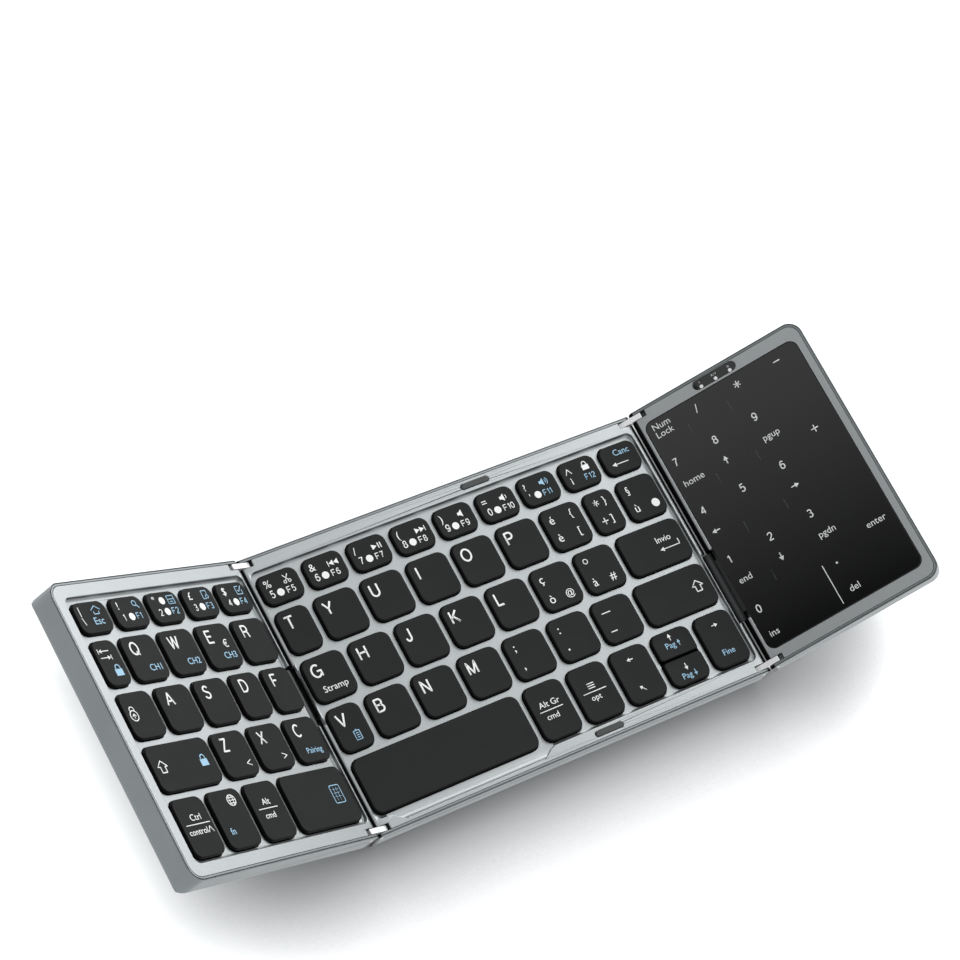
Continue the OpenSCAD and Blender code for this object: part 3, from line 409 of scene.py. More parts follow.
# Centre lines of the letters and numbers for a height of one. Six numbers are an arc: centre, radii, from, to.
LETTERS = {
    "A": [[(0, 0), (.39, 1), (.78, 0)], [(.13, .32), (.65, .32)]],
    "B": [[(0, 0), (0, 1), (.34, 1), (.34, .765, .22, .235, 90, -90), (0, .53)],
          [(.34, .53), (.36, .265, .25, .265, 90, -90), (0, 0)]],
    "C": [[(.38, .5, .38, .5, 48, 312)]],
    "D": [[(0, 0), (0, 1), (.28, 1), (.28, .5, .41, .5, 90, -90), (0, 0)]],
    "E": [[(.6, 1), (0, 1), (0, 0), (.62, 0)], [(0, .53), (.55, .53)]],
    "F": [[(.56, 1), (0, 1), (0, 0)], [(0, .5), (.48, .5)]],
    "G": [[(.39, .5, .39, .5, 50, 325)], [(.42, .47), (.77, .47), (.77, 0)]],
    "H": [[(0, 0), (0, 1)], [(.66, 0), (.66, 1)], [(0, .53), (.66, .53)]],
    "I": [[(0, 0), (0, 1)]],
    "J": [[(.42, 1), (.42, .3), (.21, .27, .21, .27, 0, -180)]],
    "K": [[(0, 0), (0, 1)], [(.6, 1), (0, .36)], [(.2, .58), (.64, 0)]],
    "L": [[(0, 1), (0, 0), (.52, 0)]],
    "M": [[(0, 0), (0, 1), (.37, .05), (.74, 1), (.74, 0)]],
    "N": [[(0, 0), (0, 1), (.62, 0), (.62, 1)]],
    "O": [[(.4, .5, .4, .5, 0, 360)]],
    "P": [[(0, 0), (0, 1), (.34, 1), (.34, .735, .25, .265, 90, -90), (0, .47)]],
    "Q": [[(.4, .5, .4, .5, 0, 360)], [(.48, .24), (.78, -.06)]],
    "R": [[(0, 0), (0, 1), (.36, 1), (.36, .74, .24, .26, 90, -90), (0, .48)],
          [(.36, .48), (.52, .4), (.57, .12), (.63, 0)]],
    "S": [[(.31, .74, .27, .26, 25, 200), (.31, .52), (.31, .265, .3, .265, 45, -165)]],
    "T": [[(0, 1), (.68, 1)], [(.34, 1), (.34, 0)]],
    "U": [[(0, 1), (0, .33), (.32, .32, .32, .32, 180, 360), (.64, 1)]],
    "V": [[(0, 1), (.35, 0), (.7, 1)]],
    "W": [[(0, 1), (.25, 0), (.49, 1), (.73, 0), (.98, 1)]],
    "X": [[(0, 0), (.66, 1)], [(0, 1), (.66, 0)]],
    "Y": [[(0, 1), (.34, .43), (.68, 1)], [(.34, .43), (.34, 0)]],
    "Z": [[(.02, 1), (.62, 1), (0, 0), (.64, 0)]],
    "0": [[(.27, .5, .27, .5, 0, 360)]],
    "1": [[(0, .78), (.22, 1), (.22, 0)]],
    "2": [[(.27, .72, .26, .28, 165, -35), (0, 0), (.54, 0)]],
    "3": [[(.25, .76, .23, .24, 150, -90), (.25, .27, .27, .27, 90, -150)]],
    "4": [[(.42, 0), (.42, 1), (0, .28), (.56, .28)]],
    "5": [[(.48, 1), (.1, 1), (.05, .52), (.26, .32, .26, .32, 125, -150)]],
    "6": [[(.27, .31, .26, .31, 0, 360)], [(.31, .42, .3, .58, 50, 190)]],
    "7": [[(0, 1), (.52, 1), (.29, .5), (.19, 0)]],
    "8": [[(.27, .76, .22, .24, 0, 360)], [(.27, .27, .27, .27, 0, 360)]],
    "9": [[(.27, .69, .26, .31, 0, 360)], [(.23, .58, .3, .58, 230, 370)]],
}

# Plain signs in mm, from their lower left corner. Each line starts with its width, and a width of zero fills it.
SIGNS = {
    "disc": [(0, (0, 0, 1.25, 1.25, 0, 360))],
    "large_disc": [(0, (0, 0, 1.5, 1.5, 0, 360))],
    "ring": [(.28, (0, 0, .82, .82, 0, 360))],
    "house": [(.32, (0, 1.3), (2, 2.7), (4, 1.3)), (.32, (.9, .9), (.9, 0), (3.1, 0), (3.1, .9))],
    "magnifier": [(.32, (1.1, 1.8, .85, .85, 0, 360)), (.42, (1.7, 1.15), (2.7, .1))],
    "cards": [(.28, (0, 0), (2.9, 0), (2.9, 2.7), (0, 2.7), (0, 0)), (.28, (0, 1.5), (2.9, 1.5)),
              (.28, (.8, .7), (2.1, .7))],
    "page": [(.28, (1.2, 0), (0, 0), (0, 2.8), (2.2, 2.8), (2.2, 1.6)), (.28, (1.9, .7, .6, .6, 0, 360))],
    "tick_box": [(.28, (2.6, 1.5), (2.6, 0), (0, 0), (0, 2.7), (1.6, 2.7)), (.32, (.7, 1.4), (1.2, .9), (2.8, 2.8))],
    "scissors": [(.28, (.5, .45, .45, .45, 0, 360)), (.28, (2.1, .45, .45, .45, 0, 360)),
                 (.3, (.8, .8), (2.2, 2.9)), (.3, (1.8, .8), (.4, 2.9))],
    "back": [(.3, (0, 0), (0, 1.9)), (0, (1.9, 0), (1.9, 1.9), (.25, .95)), (0, (3.6, 0), (3.6, 1.9), (1.95, .95))],
    "play": [(0, (0, 0), (1.8, .95), (0, 1.9)), (.42, (2.35, 0), (2.35, 1.9)), (.42, (3.2, 0), (3.2, 1.9))],
    "next": [(0, (0, 0), (1.65, .95), (0, 1.9)), (0, (1.7, 0), (3.35, .95), (1.7, 1.9)), (.3, (3.6, 0), (3.6, 1.9))],
    "speaker": [(0, (0, .7), (.7, .7), (1.7, -.1), (1.7, 2.5), (.7, 1.7), (0, 1.7))],
    "speaker_one": [(0, (0, .7), (.7, .7), (1.7, -.1), (1.7, 2.5), (.7, 1.7), (0, 1.7)),
                    (.28, (1.7, 1.2, .8, .8, -50, 50))],
    "speaker_two": [(0, (0, .7), (.7, .7), (1.7, -.1), (1.7, 2.5), (.7, 1.7), (0, 1.7)),
                    (.28, (1.7, 1.2, .8, .8, -50, 50)), (.28, (1.7, 1.2, 1.5, 1.5, -50, 50))],
    "lock": [(0, (0, 0), (2.6, 0), (2.6, 1.75), (0, 1.75)),
             (.36, (.55, 1.6), (.55, 2.1), (1.3, 2.1, .75, .85, 180, 0), (2.05, 1.6))],
    "large_lock": [(0, (0, 0), (3.1, 0), (3.1, 2.2), (0, 2.2)),
                   (.4, (.6, 2), (.6, 2.6), (1.55, 2.6, .95, 1.0, 180, 0), (2.5, 2))],
    "capital_lock": [(.38, (1.75, 1.7, 1.6, 1.7, 0, 360)), (.34, (.8, 3.2), (.8, 3.7), (1.75, 3.7, .95, .9, 180, 0),
                     (2.7, 3.2)), (.34, (1.0, 1.5), (1.75, 2.3), (2.5, 1.5)), (.34, (1.75, 2.2), (1.75, .8))],
    "shift": [(.4, (0, 1.9), (2.1, 3.8), (4.2, 1.9), (3.1, 1.9), (3.1, 0), (1.1, 0), (1.1, 1.9), (0, 1.9))],
    "tab": [(.34, (.1, 2.1), (.1, 3.7)), (.34, (.5, 2.9), (4.6, 2.9)), (0, (.4, 2.9), (1.6, 3.6), (1.6, 2.2)),
            (.34, (4.7, -.1), (4.7, 1.5)), (.34, (.1, .7), (4.3, .7)), (0, (4.4, .7), (3.2, 1.4), (3.2, 0))],
    "battery": [(.3, (.1, 0), (2.1, 0), (2.1, 3), (.1, 3), (.1, 0)), (.3, (.8, 3.35), (1.4, 3.35)),
                (.3, (.6, .8), (1.6, .8)), (.3, (.6, 1.5), (1.6, 1.5)), (.3, (.6, 2.2), (1.6, 2.2))],
    "globe": [(.34, (1.8, 1.8, 1.75, 1.75, 0, 360)), (.3, (1.8, 1.8, .8, 1.75, 0, 360)), (.3, (.1, 1.8), (3.5, 1.8)),
              (.3, (.5, 2.7), (3.1, 2.7)), (.3, (.5, .9), (3.1, .9))],
    "keypad": [(.34, (.6, 0), (4.4, 0), (4.4, .6, .6, .6, -90, 0), (5, 5.8), (4.4, 5.8, .6, .6, 0, 90), (.6, 6.4),
                (.6, 5.8, .6, .6, 90, 180), (0, .6), (.6, .6, .6, .6, 180, 270)),
               (.15, (.9, 4.9), (4.1, 4.9)), (.15, (.9, 3.6), (4.1, 3.6)), (.15, (.9, 2.3), (4.1, 2.3)),
               (.15, (1.7, .9), (1.7, 5.6)), (.15, (3.2, .9), (3.2, 5.6))],
    "return": [(.34, (7.8, 1.9), (7.8, 0), (.6, 0)), (0, (0, 0), (1.5, .75), (1.5, -.75))],
    "delete": [(.32, (.6, 0), (6.5, 0)), (0, (0, 0), (1.6, .75), (1.6, -.75))],
    "left": [(.34, (.4, 0), (2.4, 0)), (0, (0, 0), (1.2, .7), (1.2, -.7))],
    "right": [(.34, (0, 0), (2, 0)), (0, (2.4, 0), (1.2, .7), (1.2, -.7))],
    "up": [(.34, (0, 0), (0, 2)), (0, (0, 2.4), (.7, 1.2), (-.7, 1.2))],
    "down": [(.34, (0, .4), (0, 2.4)), (0, (0, 0), (.7, 1.2), (-.7, 1.2))],
    "start": [(.3, (2, 0), (.4, 1.6)), (0, (0, 2), (1.3, 1.8), (.2, .7))],
    "less": [(.34, (2, 0), (0, .9), (2, 1.8))],
    "more": [(.34, (0, 0), (2, .9), (0, 1.8))],
    "hat": [(.34, (0, 0), (1.1, 1.9), (2.2, 0))],
    "minus": [(.38, (0, 0), (2.4, 0))],
    "dash": [(.38, (0, 0), (3.4, 0))],
    "plus": [(.36, (0, 0), (2.4, 0)), (.36, (1.2, -1.2), (1.2, 1.2))],
    "star": [(.34, (1.1, -1.2), (1.1, 1.2)), (.34, (.06, -.6), (2.14, .6)), (.34, (.06, .6), (2.14, -.6))],
    "stop": [(0, (0, 0), (.6, 0), (.6, .6), (0, .6))],
    "menu": [(.34, (0, 0), (2.6, 0)), (.34, (0, .8), (2.6, .8)), (.34, (0, 1.6), (2.6, 1.6))],
    "long_bar": [(.32, (0, 0), (10.4, 0))],
    "short_bar": [(.32, (0, 0), (8.7, 0))],
}


def letter(name, x=2.2, y=6.95, height=4.75):
    """A large letter at its usual place on a key of the middle panel."""
    return (name, x, y, height)


def wing_letter(name, x):
    """A large letter on a key of the left wing."""
    return letter(name, x, 6.5, 4.6)


# Where a number key of either panel has its sign, picture, number, disc and function number. The number's place
# ends with its height.
MIDDLE_NUMBERS = ((1.8, 4.5), (8.45, 4.9), (2.3, 8.2, 2.65), (6.0, 7.05), (8.15, 8.35))
WING_NUMBERS = ((2.6, 4.0), (9.2, 4.3), (3.1, 8.0, 2.4), (6.9, 6.75), (8.9, 7.9))


def number_key(sign, picture, number, at=MIDDLE_NUMBERS, ink="white", function_ink="white"):
    """The usual marks of a number key: a sign, a picture, the number, a disc and the function number."""
    function = {"0": "10"}.get(number, number)
    return [("'" + sign, *at[0], 2.5), (":" + picture, *at[1], 1, ink), (number, *at[2]), (":disc", *at[3], 1),
            ("F" + function, *at[4], 2.3, function_ink)]


# For each key from left to right: what is printed, its place from the key's rear left corner, its height, and its
# ink unless it is white. A name after a colon is a sign, and after a quote mark a word in plain type. The rest is
# drawn with even strokes.
KEY_MARKS = {
    "left_number_keys": [
        [("'|", 2.1, 3.9, 2.4), (":house", 7.2, 4.3, 1, "blue"),
         ("'\\", 1.9, 7.5, 2.4), ("'Esc", 6.7, 7.7, 2.3, "blue")],
        number_key("!", "magnifier", "1", WING_NUMBERS, "blue", "blue"),
        number_key('"', "cards", "2", WING_NUMBERS, "blue", "blue") + [(":disc", 6.6, 3.0, 1)],
        number_key("£", "page", "3", WING_NUMBERS, "blue", "blue"),
        number_key("$", "tick_box", "4", WING_NUMBERS, "blue", "blue")],
    "left_upper_keys": [
        [(":tab", 1.5, 6.4, 1), (":large_lock", 4.9, 11.9, 1, "blue")],
        [wing_letter("Q", 2.8), ("'CH1", 7.4, 12.0, 2.1, "blue")],
        [wing_letter("W", 3.0), ("'CH2", 7.4, 12.0, 2.1, "blue")],
        [wing_letter("E", 3.1), ("'€", 9.4, 8.3, 2.5), ("'CH3", 7.4, 12.0, 2.1, "blue")],
        [wing_letter("R", 3.1)]],
    "left_home_keys": [
        [(":capital_lock", 1.7, 9.2, 1)], [wing_letter("A", 2.9)], [wing_letter("S", 3.1)], [wing_letter("D", 3.3)],
        [wing_letter("F", 3.1)]],
    "left_lower_keys": [
        [wing_letter("Z", 3.0), (":less", 10.4, 12, 1)],
        [wing_letter("X", 3.3), (":more", 10.2, 12, 1)],
        [wing_letter("C", 3.1), ("'Pairing", 4.8, 12.1, 1.9, "blue")]],
    "left_shift_key": [[(":shift", 2.3, 8.9, 1), (":large_lock", 20.9, 9.2, 1, "blue")]],
    "left_modifier_keys": [
        [("'Ctrl", 5.0, 7.4, 2.0), (":long_bar", 1.9, 8.6, 1), ("'control", 1.8, 11.8, 1.9), (":hat", 10.1, 11.8, 1)],
        [(":globe", 7.8, 5.6, 1), ("'fn", 2.9, 14.2, 2.1, "blue")],
        [("'Alt", 5.1, 7.4, 2.0), (":short_bar", 2.3, 8.6, 1), ("'cmd", 3.9, 11.8, 1.9)]],
    "left_space_key": [[(":keypad", 20.7, 12.0, .92, "blue")]],
    "middle_number_keys": [
        number_key("%", "scissors", "5"),
        number_key("&", "back", "6"),
        number_key("/", "play", "7"),
        number_key("(", "next", "8"),
        number_key(")", "speaker", "9"),
        number_key("=", "speaker_one", "0"),
        [("'?", 1.8, 4.5, 2.2), (":speaker_two", 7.8, 4.7, 1, "blue"), ("''", 2.4, 8.2, 2.2),
         (":disc", 5.5, 7.05, 1), ("F11", 7.5, 8.3, 2.2, "blue")],
        [(":hat", 1.9, 4.5, 1), (":lock", 8.5, 4.8, 1), ("'ì", 2.4, 8.2, 2.4), ("F12", 7.9, 8.3, 2.2, "blue")],
        [("'Canc", 5.2, 4.05, 2.1, "blue"), (":delete", 2.8, 6.95, 1)]],
    "middle_upper_keys": [
        [letter("T")], [letter("Y")], [letter("U")], [letter("I", 2.6)], [letter("O")], [letter("P")],
        [("'é", 2.5, 5.5, 2.9), ("'{", 10.5, 5.1, 2.5), ("'è", 2.5, 12.0, 2.9), ("'[", 10.6, 11.6, 2.5)],
        [(":star", 2.8, 4.0, 1), ("'}", 6.8, 5.1, 2.5), (":plus", 2.7, 10.75, 1), ("']", 6.3, 11.6, 2.5)],
        [("'§", 2.7, 4.9, 2.4), ("'ù", 2.6, 12.0, 2.9), (":large_disc", 10.8, 10.9, 1)]],
    "middle_home_keys": [
        [letter("G"), ("'Stramp", 3.5, 12.1, 2.1)], [letter("H")], [letter("J")], [letter("K")], [letter("L")],
        [("'ç", 2.5, 5.2, 2.9), ("'ò", 2.5, 12.5, 2.9), ("'@", 8.9, 12.2, 2.3)],
        [(":ring", 3.7, 3.5, 1), ("'à", 2.5, 12.5, 2.9), ("'#", 9.2, 12.5, 2.7)]],
    "enter_key": [[("'Invio", 13.6, 6.8, 2.1), (":return", 13.5, 9.3, 1)]],
    "middle_lower_keys": [
        [letter("V"), (":battery", 5.6, 12.2, 1, "blue")], [letter("B", 2.3)], [letter("N", 2.2)], [letter("M")],
        [("';", 3.1, 5.2, 3.0), ("',", 3.2, 11.6, 3.0)],
        [("':", 3.1, 5.2, 3.0), (":stop", 3.2, 11.35, 1)],
        [(":dash", 2.85, 4.3, 1), (":minus", 2.85, 11.0, 1)]],
    "right_shift_key": [[(":shift", 20.4, 9.3, 1)]],
    "middle_modifier_keys": [
        [("'Alt Gr", 3.1, 7.9, 2.0), (":short_bar", 2.4, 9.1, 1), ("'cmd", 3.9, 12.2, 1.9)],
        [(":menu", 5.2, 7.8, 1), (":short_bar", 2.5, 9.1, 1), ("'opt", 4.5, 12.0, 1.9)]],
    "arrow_left_key": [[(":left", 5.6, 4.1, 1), (":start", 5.3, 15.2, .9)]],
    "arrow_up_key": [[(":up", 7.0, 3.4, 1), ("'Pag", 4.2, 5.8, 1.95, "blue"), (":up", 9.3, 5.9, .9, "blue")]],
    "arrow_down_key": [[(":down", 7.3, 4.6, 1), ("'Pag", 4.4, 7.2, 1.95, "blue"), (":down", 9.5, 7.3, .9, "blue")]],
    "arrow_right_key": [[(":right", 5.8, 4.2, 1), ("'Fine", 4.75, 14.9, 2.0, "blue")]],
}


def path_of(parts, x, y, scale):
    """The points of a line in mm: single points as they are, and arcs in even steps."""
    points = []
    for part in parts:
        if len(part) == 2:
            points.append((x + part[0]*scale, y + part[1]*scale))
        else:
            cx, cy, rx, ry, start, end = part
            steps = max(4, int(abs(end - start)/ARC_STEP))
            for i in range(steps + 1):
                turn = math.radians(start + (end - start)*i/steps)
                points.append((x + (cx + rx*math.cos(turn))*scale, y + (cy + ry*math.sin(turn))*scale))
    return points


def keep_corners(points, width):
    """Adds points close to each sharp turn, so that a line keeps its width up to it."""
    kept = [points[0]]
    for before, here, after in zip(points, points[1:], points[2:]):
        arrive, leave = Vector(here) - Vector(before), Vector(after) - Vector(here)
        if min(arrive.length, leave.length) > width and arrive.angle(leave) > SHARP_TURN:
            kept += [tuple(Vector(here) - arrive.normalized()*width/2), here,
                     tuple(Vector(here) + leave.normalized()*width/2)]
        else:
            kept.append(here)
    return kept + [points[-1]]


def typed(word, x, y, height):
    """A word in plain type as a flat mesh, with its left edge and its base line at this place."""
    bpy.ops.object.text_add()
    text = bpy.context.object.data
    text.body = word
    text.size = height*MM/TYPE_CAP_HEIGHT
    text.extrude = INK_HALF*MM
    text.resolution_u = 3
    bpy.ops.object.convert(target="MESH")
    flat_word = bpy.context.object
    left = min(vert.co.x for vert in flat_word.data.vertices)
    flat_word.data.transform(Matrix.Translation((x*MM - left, y*MM, 0)))
    return flat_word


def strokes_of(what, x, y, height):
    """The lines of a sign, or of letters and numbers side by side: a width and points for each."""
    if what[0] == ":":
        return [(line[0]*height, path_of(line[1:], x, y, height)) for line in SIGNS[what[1:]]]
    strokes = []
    width = LETTER_STROKE*height
    for character in what:
        for parts in LETTERS[character]:
            strokes.append((width, path_of(parts, x + width/2, y + width/2, height - width)))
        x = max(point[0] for _, points in strokes for point in points) + width/2 + LETTER_GAP*height
    return strokes


def draw(curve, width, points):
    """Adds one line to a curve, closed where it ends at its own start."""
    closed = math.dist(points[0], points[-1]) < 1e-6
    if width:
        points = keep_corners(points, width)
    if closed:
        points = points[:-1]
    spline = curve.splines.new("POLY")
    spline.points.add(len(points) - 1)
    for point, (x, y) in zip(spline.points, points):
        point.co = (x*MM, y*MM, 0, 1)
        point.radius = width/2
    spline.use_cyclic_u = closed or not width


def print_marks(name, marks, body, place, material, level=INK_Z):
    """Prints marks in one ink: a list of (what, x, y, height) in a panel's frame, joined to one thin piece."""
    lines = bpy.data.curves.new(name, "CURVE")
    lines.dimensions = "3D"
    lines.bevel_depth = MM
    lines.bevel_resolution = 2
    lines.use_fill_caps = True
    areas = bpy.data.curves.new(name, "CURVE")
    areas.dimensions = "2D"
    areas.fill_mode = "BOTH"
    areas.extrude = INK_HALF*MM
    made = []
    for what, x, y, height in marks:
        if what[0] == "'":
            made.append(typed(what[1:], x, y, height))
        else:
            for width, points in strokes_of(what, x, y, height):
                draw(lines if width else areas, width, points)
    for curve in (lines, areas):
        if curve.splines:
            drawn = bpy.data.objects.new(name, curve)
            bpy.context.scene.collection.objects.link(drawn)
            only(drawn)
            bpy.ops.object.convert(target="MESH")
            drawn = bpy.context.object
            for vert in drawn.data.vertices:
                vert.co.z = max(-INK_HALF*MM, min(INK_HALF*MM, vert.co.z))
            made.append(drawn)
    only(*made)
    bpy.ops.object.join()
    piece = bpy.context.object
    piece.name = name
    piece.data.transform(place @ Matrix.Translation((0, 0, level*MM)))
    bpy.ops.object.mode_set(mode="EDIT")
    bpy.ops.mesh.select_all(action="SELECT")
    bpy.ops.mesh.remove_doubles(threshold=WELD/2*MM)
    bpy.ops.mesh.normals_make_consistent(inside=False)
    bpy.ops.object.mode_set(mode="OBJECT")
    wear(piece, material)
    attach(piece, body)


inks = {
    "white": finish("white pad-printing ink", "#fafbfb", "#f4f6f5", 4, (0.4, 0.5), 0.2, 0.004, {}),
    "blue": finish("light blue pad-printing ink", "#a3cfe9", "#9bc8e4", 4, (0.4, 0.5), 0.2, 0.004, {}),
}
for node, keys in KEY_MARKS.items():
    place = places["left" if node.startswith("left_") else "middle"]
    for ink, material in inks.items():
        marks = []
        for (low, high), key in zip(key_boxes[node], keys):
            marks += [(mark[0], low[0]/MM + mark[1], high[1]/MM - mark[2], mark[3])
                      for mark in key if (mark + ("white",))[4] == ink]
        if marks:
            print_marks(node + "_" + ink + "_print", marks, node, place, material)

# Touch glass
# The number pad is one sheet of hard glass, blackened from behind and ground round its edge, which lies a hair
# below the rim. It is glossy and smooth all over.
GLASS_EDGE = 0.25
glass_black = finish("back-painted black glass", "#0b0c0c", "#0d0e0e", 30, (0.05, 0.07), 8, 0.002,
                     {"IOR": 1.52})
dress("touch_glass", "touch_sheet", GLASS_EDGE, 3, glass_black)

# Marks under the touch glass
# Numbers, small words and plain arrows are printed white, and the fields are parted by short dim ticks and one
# white line. They are placed from the wing's inner pins and its middle.
GLASS_MARK_HEIGHT = 2.95
PAD_COLUMNS = (2.9, 17.8, 32.8, 47.9)
PAD_ROWS = {"789": 25.3, "456": 6.6, "123": -12.1}
pad_marks = [
    ("'Num", 2.7, 39.5, 2.2), ("'Lock", 2.7, 36.6, 2.2), (":star", 32.9, 39.3, 1.05), (":minus", 47.8, 39.4, 1),
    ("'/", 17.9, 37.7, 2.9), (":plus", 47.6, 13.3, 1.05), ("0", 2.9, -31.0, GLASS_MARK_HEIGHT),
    (":stop", 32.9, -29.5, 1.05), ("'home", 2.7, 17.7, 2.25), (":up", 18.6, 17.6, 1.2),
    ("'pgup", 32.6, 17.8, 2.2), (":left", 2.8, 0.0, 1.2), (":right", 32.6, 0.0, 1.2),
    ("'end", 2.7, -19.6, 2.2), (":down", 18.6, -19.7, 1.2), ("'pgdn", 32.6, -19.5, 2.2),
    ("'enter", 47.5, -24.6, 2.2), ("'ins", 2.9, -39.8, 2.2), ("'del", 32.6, -39.9, 2.2),
]
for digits, y in PAD_ROWS.items():
    pad_marks += [(digit, PAD_COLUMNS[i], y, GLASS_MARK_HEIGHT) for i, digit in enumerate(digits)]
glass_white = finish("white print under glass", "#f2f4f3", "#eaedec", 4, (0.3, 0.4), 0.4, 0.002, {})
SIGNS["field_line"] = [(.3, (0, 0), (0, 14.3))]
SIGNS["tick"] = [(.2, (0, 0), (0, 3.8))]
pad_marks.append((":field_line", 28.5, -42.0, 1))
print_marks("touch_print", pad_marks, "right_wing", places["right"], glass_white)
dim_grey = finish("dim grey print under glass", "#3c3f3e", "#363938", 2, (0.3, 0.4), 0.4, 0.002, {})
TICK_COLUMNS = {13.5: (32.0, 13.0, -5.8, -24.2), 28.5: (32.0, 13.0, -5.8)}
ticks = [(":tick", x, y, 1) for x, rows in TICK_COLUMNS.items() for y in rows]
print_marks("touch_ticks", ticks, "right_wing", places["right"], dim_grey)

# Light window
# A strip of smoked clear acrylic is set flush in the rear rim over three lamps, which show as white dots below
# tiny printed marks.
WINDOW_EDGE = 0.12
WINDOW_INK_Z = -0.045
window_acrylic = finish("smoked clear acrylic", "#1a1c1c", "#202222", 5, (0.08, 0.14), 2, 0.002, {"IOR": 1.49})
dress("light_window", "window_strip", WINDOW_EDGE, 2, window_acrylic)
SIGNS["lamp"] = [(0, (0, 0, .62, .62, 0, 360))]
lamp_marks = [(":lamp", x, 44.75, 1) for x in (23.6, 29.0, 34.4)]
lamp_marks += [("1", 23.4, 45.9, .8), ("A", 28.0, 45.9, .8), ("'/", 28.9, 45.9, .8), ("1", 29.5, 45.9, .8),
               (":menu", 34.0, 45.9, .3)]
print_marks("window_print", lamp_marks, "right_wing", places["right"], inks["white"], WINDOW_INK_Z)

# Hinge links and cable covers
# Two polished steel links a side carry each wing on two pins. They mirror the pale room a little, and their
# near-white colour is a painted reflection of it. Between them a round cover of matt black nylon hides the flat cable.
LINK_EDGE = 0.18
COVER_EDGE = 0.15
# A near-white base with little metal: a painted reflection of the pale room.
link_steel_painted_reflection = finish("polished stainless steel", "#fbfcfc", "#f6f8f8", 3, (0.26, 0.32), 0.3, 0.001, {"Metallic": 0.3})
cover_nylon = finish("matt black nylon", "#393a3b", "#343536", 3, (0.5, 0.6), 0.3, 0.01, {})
for side in ("left", "right"):
    dress(side + "_links", side + "_link_pair", LINK_EDGE, 3, link_steel_painted_reflection)
    dress(side + "_cable_cover", side + "_round_cover", COVER_EDGE, 2, cover_nylon)

# Feet and stops
# Moulded rubber feet sit in shallow pockets under the panels, and two small rubber stops in the middle rims
# meet the folded wings. The rubber is matt and dark grey, and shows hardly any shine.
FOOT_EDGE = 0.15
STOP_EDGE = 0.2
foot_rubber = finish("dark grey moulded rubber", "#2b2d2d", "#262828", 3, (0.65, 0.75), 0.3, 0.02, {})
stop_rubber = finish("grey moulded rubber", "#3c3f3e", "#373a39", 2, (0.6, 0.7), 0.25, 0.015, {})
for side in places:
    dress(side + "_feet", side + "_foot_pads", FOOT_EDGE, 2, foot_rubber)
dress("rim_stops", "rim_stop_pads", STOP_EDGE, 3, stop_rubber)

# Floor
# A wide sheet of smooth pale board under the keyboard. It shows white to the eye and in metal and glass, from a
# glow added to its own shade. Where the keyboard stands close behind, mostly in front of it, an ambient occlusion
# lookup dims that glow to the eye as a painted shadow, on top of the keyboard's real soft shadow on its shade.
FLOOR_SIZE = 12               # metres
FLOOR_GLOW = 0.9
# The painted shadow: how far the occlusion looks, how steeply it deepens, and the side it leans to.
SHADOW_REACH = 0.035          # metres
SHADOW_STRENGTH = 5.0
SHADOW_SIDE = (-0.25, 0.75, 0.6)


def light_paths(tree):
    """Whether a ray comes from the eye, and whether it comes from metal or glass."""
    seen = add(tree, "ShaderNodeLightPath", {}, {})
    mirrors = add(tree, "ShaderNodeMath", {"operation": "MAXIMUM"},
                  {0: seen.outputs["Is Glossy Ray"], 1: seen.outputs["Is Transmission Ray"]})
    return seen.outputs["Is Camera Ray"], mirrors.outputs[0]


bpy.ops.mesh.primitive_plane_add(size=FLOOR_SIZE)
floor = bpy.context.object
floor.name = "floor"
pale_board = finish("smooth pale board", "#b4b5b6", "#b1b2b3", 400, (0.6, 0.7), 2, 0.002, {})
tree = pale_board.node_tree
eye, mirrors = light_paths(tree)
shadow_side = add(tree, "ShaderNodeCombineXYZ", dict(zip("XYZ", SHADOW_SIDE)), {}).outputs[0]
glow_left_by_painted_shadow = add(tree, "ShaderNodeAmbientOcclusion", {"samples": 16, "Distance": SHADOW_REACH}, {"Normal": shadow_side})
glow_left_by_painted_shadow = add(tree, "ShaderNodeMath", {"operation": "POWER", 1: SHADOW_STRENGTH}, {0: glow_left_by_painted_shadow.outputs["AO"]})
shown = add(tree, "ShaderNodeMath", {"operation": "MULTIPLY"}, {0: eye, 1: glow_left_by_painted_shadow.outputs[0]})
shown = add(tree, "ShaderNodeMath", {"operation": "MAXIMUM"}, {0: shown.outputs[0], 1: mirrors})
lift = add(tree, "ShaderNodeMapRange", {"To Min": 0.0, "To Max": FLOOR_GLOW}, {"Value": shown.outputs[0]})
glow = add(tree, "ShaderNodeEmission", {"Color": linear("#fcfeff")}, {"Strength": lift.outputs[0]})
both = add(tree, "ShaderNodeAddShader", {}, {0: tree.nodes["Principled BSDF"].outputs[0], 1: glow.outputs[0]})
tree.links.new(both.outputs[0], tree.nodes["Material Output"].inputs["Surface"])
wear(floor, pale_board)

# Studio light
# Two large soft lamps stand high on the right and low behind. A grey card on the left is graded so that the glass
# shows dark in front and paler behind, and the room around is even and pale and shows white.
ROOM_LIGHT = 0.65
CARD_SIZE = 0.5               # metres
CARD_PLACE = (-0.50, 0.23, 0.62)
CARD_FADE = (0.1, 0.25)       # metres to the back, from dark to bright
CARD_GLOW = 0.9


def soft_lamp(name, place, width, depth, power):
    """A rectangular lamp in metres and watts that the camera doesn't see, aimed at the keyboard."""
    lamp = bpy.data.objects.new(name, bpy.data.lights.new(name, "AREA"))
    lamp.data.shape = "RECTANGLE"
    lamp.data.size, lamp.data.size_y, lamp.data.energy = width, depth, power
    lamp.location = place
    lamp.rotation_euler = (-Vector(place)).to_track_quat("-Z", "Y").to_euler()
    lamp.visible_camera = False
    bpy.context.scene.collection.objects.link(lamp)


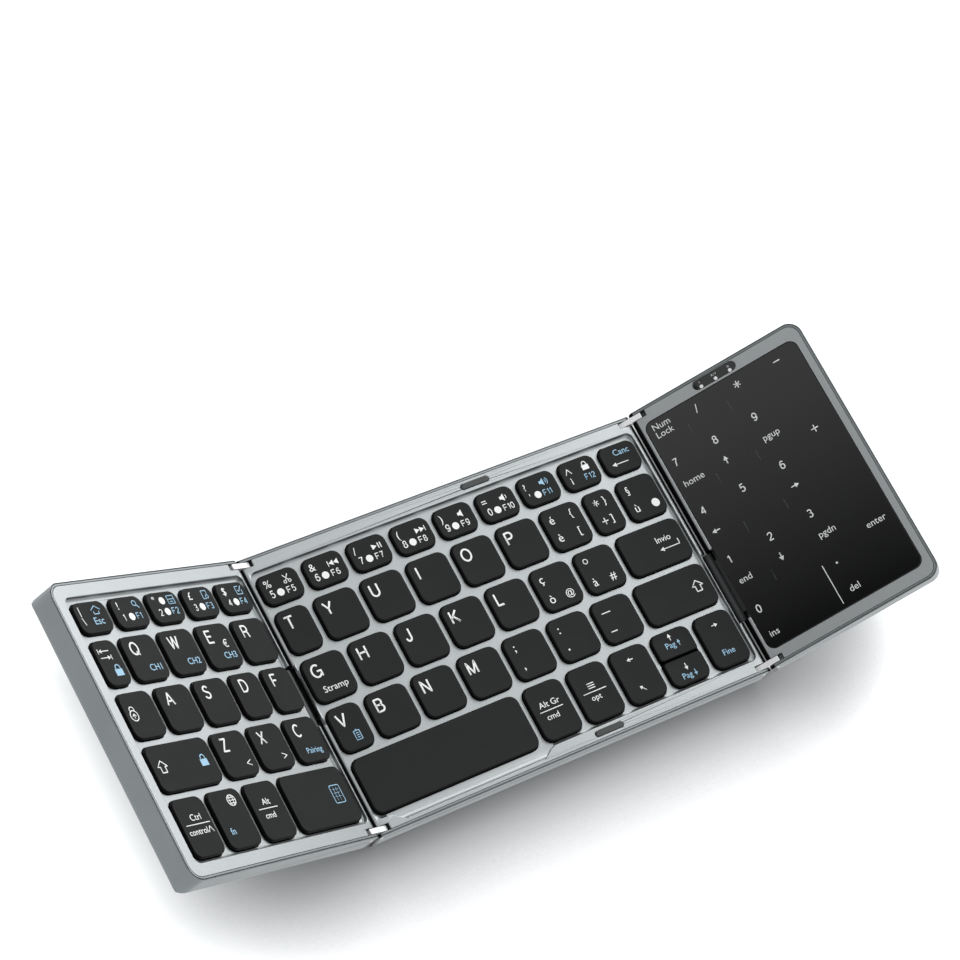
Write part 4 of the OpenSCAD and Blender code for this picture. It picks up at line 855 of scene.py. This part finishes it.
soft_lamp("right_lamp", (1.35, 0.45, 0.95), width=1.1, depth=1.1, power=13)
soft_lamp("rear_lamp", (0.7, 1.2, 0.5), width=1.1, depth=0.5, power=6)
bpy.ops.mesh.primitive_plane_add(size=1)
card = bpy.context.object
card.name = "grey_card"
card.scale = (CARD_SIZE, CARD_SIZE, 1)
card.location = CARD_PLACE
card.rotation_euler = (-card.location).to_track_quat("Z", "Y").to_euler()
card.visible_camera = False
card_light = bpy.data.materials.new("graded card")
card_light.use_nodes = True
tree = card_light.node_tree
tree.nodes.clear()
where = add(tree, "ShaderNodeNewGeometry", {}, {}).outputs["Position"]
across = add(tree, "ShaderNodeSeparateXYZ", {}, {"Vector": where})
grade = add(tree, "ShaderNodeMapRange", {"From Min": CARD_FADE[0], "From Max": CARD_FADE[1], "To Min": 0.0,
            "To Max": CARD_GLOW}, {"Value": across.outputs["Y"]})
glow = add(tree, "ShaderNodeEmission", {"Color": linear("#ffffff")}, {"Strength": grade.outputs[0]})
add(tree, "ShaderNodeOutputMaterial", {}, {"Surface": glow.outputs[0]})
wear(card, card_light)
room = bpy.data.worlds.new("pale room")
bpy.context.scene.world = room
room.use_nodes = True
eye, mirrors = light_paths(room.node_tree)
shown = add(room.node_tree, "ShaderNodeMath", {"operation": "MAXIMUM"}, {0: eye, 1: mirrors})
level = add(room.node_tree, "ShaderNodeMapRange", {"To Min": ROOM_LIGHT, "To Max": 1.0}, {"Value": shown.outputs[0]})
backdrop = room.node_tree.nodes["Background"]
backdrop.inputs["Color"].default_value = linear("#fdfeff")
room.node_tree.links.new(level.outputs[0], backdrop.inputs["Strength"])

# Camera
# A long lens on a full-frame body looks down from the front left and is turned, as the photograph was taken.
# Its distance and aim are in mm from the middle of the middle panel's rim, and its angles in degrees.
LENS = 122.56
SENSOR = 36
DISTANCE, AZIMUTH, ELEVATION, ROLL = 1056.5, -61.05, 57.41, 36.28
AIM = Vector((14.57, 46.13, 0))
turn, rise = math.radians(AZIMUTH), math.radians(ELEVATION)
back = Vector((math.sin(turn)*math.cos(rise), -math.cos(turn)*math.cos(rise), math.sin(rise)))
camera = bpy.data.objects.new("camera", bpy.data.cameras.new("camera"))
camera.data.sensor_width = SENSOR
camera.data.lens = LENS
camera.location = places["middle"].translation + (AIM + back*DISTANCE)*MM
camera.rotation_mode = "QUATERNION"
camera.rotation_quaternion = (-back).to_track_quat("-Z", "Y") @ Quaternion((0, 0, 1), math.radians(ROLL))
bpy.context.scene.collection.objects.link(camera)
bpy.context.scene.camera = camera
bpy.context.scene.view_settings.view_transform = "Standard"
